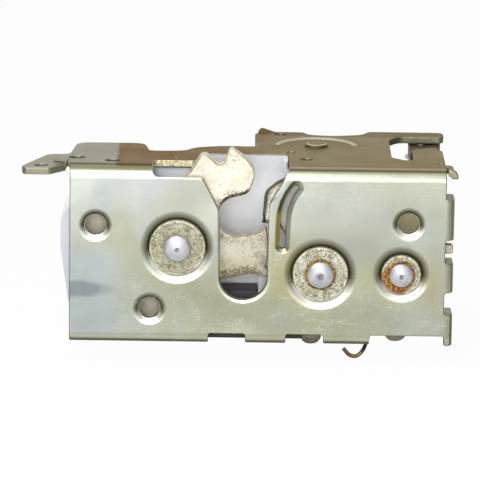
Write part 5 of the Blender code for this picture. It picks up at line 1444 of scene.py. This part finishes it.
def skin_mesh():
    """The skin over the pawl's back, with the small hook at its nose."""
    outline = [p for p in pawl_outline(SKIN_GROW) if p[1] > SKIN_END]
    mesh = slab_sheet(outline, [ring(PAWL_X, PAWL_Z, STUD_SHAFT_R + RUNNING_GAP, 48),
                                ring(PAWL_PIN_X, PAWL_PIN_Z, PAWL_PIN_R + SEAT_GAP, 32)],
                      SKIN_FRONT, SKIN_BACK, roll=0.0002)
    x, z = polar(FORK_X, FORK_Z, FORK_JAW_R + RUNNING_GAP, 15.3)
    hook = slab_sheet(rounded([(x - 0.0013, z - 0.0011, 0.0002), (x + 0.0005, z - 0.0010, 0.0001),
                               (x + 0.0011, z + 0.0026, 0), (x - 0.0004, z + 0.0021, 0)]), [],
                      SKIN_FRONT + 0.0002, SKIN_BACK - 0.0001, roll=0.0001)
    data = bpy.data.meshes.new("hook")
    hook.to_mesh(data)
    hook.free()
    mesh.from_mesh(data)
    bpy.data.meshes.remove(data)
    return mesh


def skin_colour(where, olive):
    """Black at the hook, below the olive edge."""
    return tint(window(parts(where)["Z"], HOOK_TOP + 0.0006, HOOK_TOP), olive, (0.006, 0.006, 0.005))


finished("pawl_overmould_dressed", skin_mesh(),
         moulded("black_plastic", (0.052, 0.050, 0.026), (0.085, 0.082, 0.050), 0.50, 0.00003, skin_colour),
         "pawl_body", "black_plastic", "pawl_overmould")


def plain_steel():
    made, where = finish("turned_steel", Metallic=0.95)
    cloud = use(mottle, where, Cloud_scale=260.0, Grain_scale=4200.0,
                Main=(0.60, 0.60, 0.57), Cloud=(0.48, 0.47, 0.43), Thin=(0.40, 0.33, 0.22))
    return paint(made, cloud["Color"], clouded(where, 500.0, 0.28, 0.45), cloud["Grain"], 0.00001)


steel_pin_look = plain_steel()
pin_start = MECHANISM_FRONT + 0.0002
finished("pawl_pin_dressed",
         turned([(0, pin_start), (PAWL_PIN_R - 0.0002, pin_start), (PAWL_PIN_R, pin_start + 0.0002),
                 (PAWL_PIN_R, PAWL_PIN_END - 0.0005), (PAWL_PIN_R - 0.0001, PAWL_PIN_END - 0.0002),
                 (PAWL_PIN_R - 0.0005, PAWL_PIN_END), (0, PAWL_PIN_END)], PAWL_PIN_X, PAWL_PIN_Z, steps=48),
         steel_pin_look, "pawl_body", "turned_steel", "pawl_pin")

# Springs.
# Four springs of drawn wire: one in the housing behind the fork and one behind the pawl, one on
# the third stud whose leg hooks under the bottom lip, and the release lever's tension spring.

SPRING_WIRE_R = 0.00055
FINE_WIRE_R = 0.0004
COIL_R = STUD_SHAFT_R + 0.0008
COIL_STEPS = 40
SKIN_THICK = 0.0010
POCKET_DEPTH = 0.0068
COIL_CLEAR = 0.0009
COIL_FRONT = MECHANISM_BACK + 2 * SEAT_GAP + SKIN_THICK + COIL_CLEAR
COIL_BACK = MECHANISM_BACK + 2 * SEAT_GAP + SKIN_THICK + POCKET_DEPTH - 0.0008


def wire_tree():
    """Geometry Nodes: a round wire swept along a path, closed at its ends."""
    tree = bpy.data.node_groups.new("wire_on_path", "GeometryNodeTree")
    for name, kind in (("Path", "Geometry"), ("Wire radius", "Float"), ("Step", "Float"),
                       ("Sides", "Int"), ("Finish", "Material")):
        tree.interface.new_socket(name, in_out="INPUT", socket_type="NodeSocket" + kind)
    tree.interface.new_socket("Wire", in_out="OUTPUT", socket_type="NodeSocketGeometry")
    taken = put(tree, "NodeGroupInput").outputs
    even = put(tree, "GeometryNodeResampleCurve", {"Curve": taken["Path"], "Length": taken["Step"]},
               mode="LENGTH").outputs[0]
    outline = put(tree, "GeometryNodeCurvePrimitiveCircle",
                  {"Resolution": taken["Sides"], "Radius": taken["Wire radius"]}).outputs[0]
    swept = put(tree, "GeometryNodeCurveToMesh",
                {"Curve": even, "Profile Curve": outline, "Fill Caps": True}).outputs[0]
    real = put(tree, "GeometryNodeRealizeInstances", {"Geometry": swept}).outputs[0]
    painted = put(tree, "GeometryNodeSetMaterial", {"Geometry": real, "Material": taken["Finish"]})
    put(tree, "NodeGroupOutput", {"Wire": painted.outputs[0]})
    return tree


wire_on_path = wire_tree()


def bent_wire(name, path, radius, look, body, slot, node):
    """A wire along a path of points, made by the wire tree and turned into a mesh."""
    curve = bpy.data.curves.new(name, "CURVE")
    curve.dimensions = "3D"
    line = curve.splines.new("POLY")
    line.points.add(len(path) - 1)
    for point, place in zip(line.points, path):
        point.co = (*place, 1.0)
    drawn = bpy.data.objects.new(name + "_path", curve)
    bpy.context.scene.collection.objects.link(drawn)
    sweep = drawn.modifiers.new("sweep", "NODES")
    sweep.node_group = wire_on_path
    values = {"Wire radius": radius, "Step": radius * 0.7, "Sides": 14, "Finish": look}
    for item in wire_on_path.interface.items_tree:
        if item.in_out == "INPUT" and item.name in values:
            sweep[item.identifier] = values[item.name]
    graph = bpy.context.evaluated_depsgraph_get()
    mesh = bpy.data.meshes.new_from_object(drawn.evaluated_get(graph))
    bpy.data.objects.remove(drawn)
    return settled(bpy.data.objects.new(name, mesh), look, body, slot, node)


def coil(x, z, radius, start, end, turns, first=0.0):
    """A coil about an axis along Y, from the first angle on."""
    path = []
    for i in range(turns * COIL_STEPS + 1):
        angle = first + 2 * math.pi * i / COIL_STEPS
        path.append((x + radius * math.cos(angle), start + (end - start) * i / (turns * COIL_STEPS),
                     z + radius * math.sin(angle)))
    return path


def smooth_path(corners, steps=4):
    """A smooth run of points through corners in space."""
    spots = [Vector(c) for c in corners]
    path = []
    for i in range(len(spots) - 1):
        a, b = spots[i], spots[i + 1]
        before = spots[i - 1] if i else a * 2 - b
        after = spots[i + 2] if i + 2 < len(spots) else b * 2 - a
        for k in range(steps):
            t = k / steps
            path.append(0.5 * (2 * a + (b - before) * t + (2 * before - 5 * a + 4 * b - after) * t * t
                               + (3 * a - before - 3 * b + after) * t ** 3))
    return path + [spots[-1]]


def drawn_wire():
    made, where = finish("spring_wire", Metallic=0.85)
    cloud = use(mottle, where, Cloud_scale=330.0, Grain_scale=3600.0,
                Main=(0.24, 0.17, 0.09), Cloud=(0.42, 0.30, 0.13), Thin=(0.06, 0.045, 0.03))
    return paint(made, cloud["Color"], window(cloud["Grain"], 0.3, 0.7, 0.28, 0.5), cloud["Grain"],
                 0.000015)


wire_look = drawn_wire()
for name, x, z in (("fork_spring", FORK_X, FORK_Z), ("pawl_spring", PAWL_X, PAWL_Z)):
    bent_wire(name + "_dressed", coil(x, z, COIL_R, COIL_FRONT, COIL_BACK, 4), SPRING_WIRE_R,
              wire_look, "latch_body", "spring_wire", name)

SPACER_WALL = 0.0014
lock_coil_r = STUD_SHAFT_R + SPACER_WALL + SEAT_GAP + SPRING_WIRE_R
LOCK_TURNS = 3
LOCK_PITCH = 0.0014
hook_rear = LIP_DEPTH + SPRING_WIRE_R + SEAT_GAP
hook_inner = LIP_DEPTH - 0.0018
under_lip = FACE_BOTTOM - LIP_BEND
lip_edge = LIPS[-1][1]
lock_path = coil(LOCK_X, LOCK_Z, lock_coil_r, hook_rear + LOCK_PITCH * LOCK_TURNS, hook_rear, LOCK_TURNS,
                 first=math.pi)
hook = [lock_path[-1]]
hook += [(lip_edge + right, hook_rear, z) for right, z in (
    (0.0019, LOCK_Z - 0.0069), (0.0013, FACE_BOTTOM + 0.0026), (-0.0001, under_lip - 0.0008))]
hook += [(lip_edge - left, hook_inner + back, under_lip - drop) for left, back, drop in (
    (0.0013, 0.0006, 0.0032), (0.0031, 0.0, 0.0046), (0.0050, 0.0, 0.0042), (0.0067, 0.0, 0.0024))]
bent_wire("lock_spring_dressed", lock_path[:-1] + [tuple(p) for p in smooth_path(hook, 12)], SPRING_WIRE_R,
          wire_look, "latch_body", "spring_wire", "lock_spring")

# Release lever.
# A plated steel lever under the side plate. It hangs on a shouldered rivet, its bent tab pushes
# the pawl's pin, its arm holds the rod's clip, and a small spring from a post draws it back.

LEVER = 0.0025
LEVER_DROP = 0.0006
LEVER_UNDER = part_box("release_rivet")[1][2] + SEAT_GAP - LEVER_DROP - LEVER
POST_R = 0.0010
POST_X = RELEASE_X + 0.0074
POST_Y = RELEASE_Y + 0.0152
SPRING_TURNS = 6
SPRING_STEPS = 32
SPRING_COIL_R = 0.0016
SPRING_Z = LEVER_UNDER - SPRING_COIL_R - FINE_WIRE_R - SEAT_GAP - 0.0002

softened("release_lever", 0.0003, "release_body", "back_steel", back_look)
for node in ("release_rivet", "spring_post", "inside_rivet", "lock_spacer"):
    softened(node, 0.0002, "latch_body", "turned_steel", steel_pin_look, smooth=30)
clip_look = moulded("clip_plastic", (0.08, 0.21, 0.10), (0.06, 0.15, 0.07), 0.42, 0.00002)
softened("release_rod_clip", 0.0002, "release_body", "clip_plastic", clip_look, smooth=30)

spring_end = Vector((RELEASE_X + 0.0087, RELEASE_Y + 0.0069, SPRING_Z))
post = Vector((POST_X, POST_Y, SPRING_Z))
along = (spring_end - post).normalized()
across = along.cross(Vector((0, 0, 1)))
loop_r = POST_R + FINE_WIRE_R + SEAT_GAP
release_path = [post + across * (loop_r * math.cos(a)) - along * (loop_r * math.sin(a))
                for a in (math.radians(-30 + 15 * k) for k in range(16))]
spring_start = post + along * 0.0026
coil_length = (spring_end - spring_start).length - 0.0012
for i in range(SPRING_TURNS * SPRING_STEPS + 1):
    angle = 2 * math.pi * i / SPRING_STEPS
    spoke = across * math.cos(angle) + Vector((0, 0, math.sin(angle)))
    reached = spring_start + along * (coil_length * i / (SPRING_TURNS * SPRING_STEPS))
    release_path.append(reached + spoke * SPRING_COIL_R)
release_path += [spring_end, spring_end + Vector((0, 0, LEVER_UNDER - SPRING_Z - FINE_WIRE_R - SEAT_GAP))]
bent_wire("release_spring_dressed", [tuple(p) for p in release_path], FINE_WIRE_R,
          wire_look, "latch_body", "spring_wire", "release_spring")

# Lock lever.
# A stamped lever on the third stud, of the same cream zinc. Its end shows in the notch of the
# right side, and its short arm hangs below the bottom edge.

LOCK_LOW_ARM = 0.0164
LOCK_LOW_R = 0.0034


def lock_lever_outline():
    def near(x, z, fillet):
        return (LOCK_X + x, LOCK_Z + z, fillet)

    arm = LOCK_X - 0.00135
    low = LOCK_Z - LOCK_LOW_ARM - LOCK_LOW_R
    end = PLATE_RIGHT + 0.0023
    notch = (FLANGE_TABS[1][1] + FLANGE_TABS[2][0]) / 2
    return rounded([
        (arm - LOCK_LOW_R, low, LOCK_LOW_R), (arm + LOCK_LOW_R, low, LOCK_LOW_R),
        near(0.0024, -0.0089, 0.004), near(0.0062, -0.0039, 0.004),
        near(0.0092, 0.0033, 0.003), (end - 0.0022, notch - 0.0010, 0.001),
        (end, notch - 0.0010, 0.0006), (end, notch + 0.0016, 0.0006), (end - 0.0042, notch + 0.0018, 0.002),
        near(0.0040, 0.0071, 0.004), near(-0.0028, 0.0073, 0.004), near(-0.0070, 0.0021, 0.006),
        near(-0.0066, -0.0039, 0.006), near(-0.0028, -0.0089, 0.004),
    ], 8)


finished("lock_lever_dressed",
         slab_sheet(lock_lever_outline(), [ring(LOCK_X, LOCK_Z, STUD_SHAFT_R + RUNNING_GAP, 48)],
                    MECHANISM_FRONT, MECHANISM_FRONT + LEVER, roll=0.0003, steps=4),
         cream_look, "lock_body", "fork_zinc", "lock_lever")

# Inside lever.
# A black coated lever on a rivet under the rear strip, with a plastic clip for the rod that
# comes from the inner handle.


def coated_steel():
    made, where = finish("dark_lever", Metallic=0.2, Specular_IOR_Level=0.2)
    cloud = use(mottle, where, Cloud_scale=180.0, Grain_scale=2800.0,
                Main=(0.075, 0.052, 0.022), Cloud=(0.10, 0.070, 0.032), Thin=(0.15, 0.10, 0.05))
    return paint(made, cloud["Color"], window(cloud["Grain"], 0.3, 0.7, 0.42, 0.6), cloud["Grain"], 0.00002)


softened("inside_lever", 0.0003, "inside_body", "dark_lever", coated_steel())
softened("inside_rod_clip", 0.0002, "inside_body", "clip_plastic", clip_look, smooth=30)
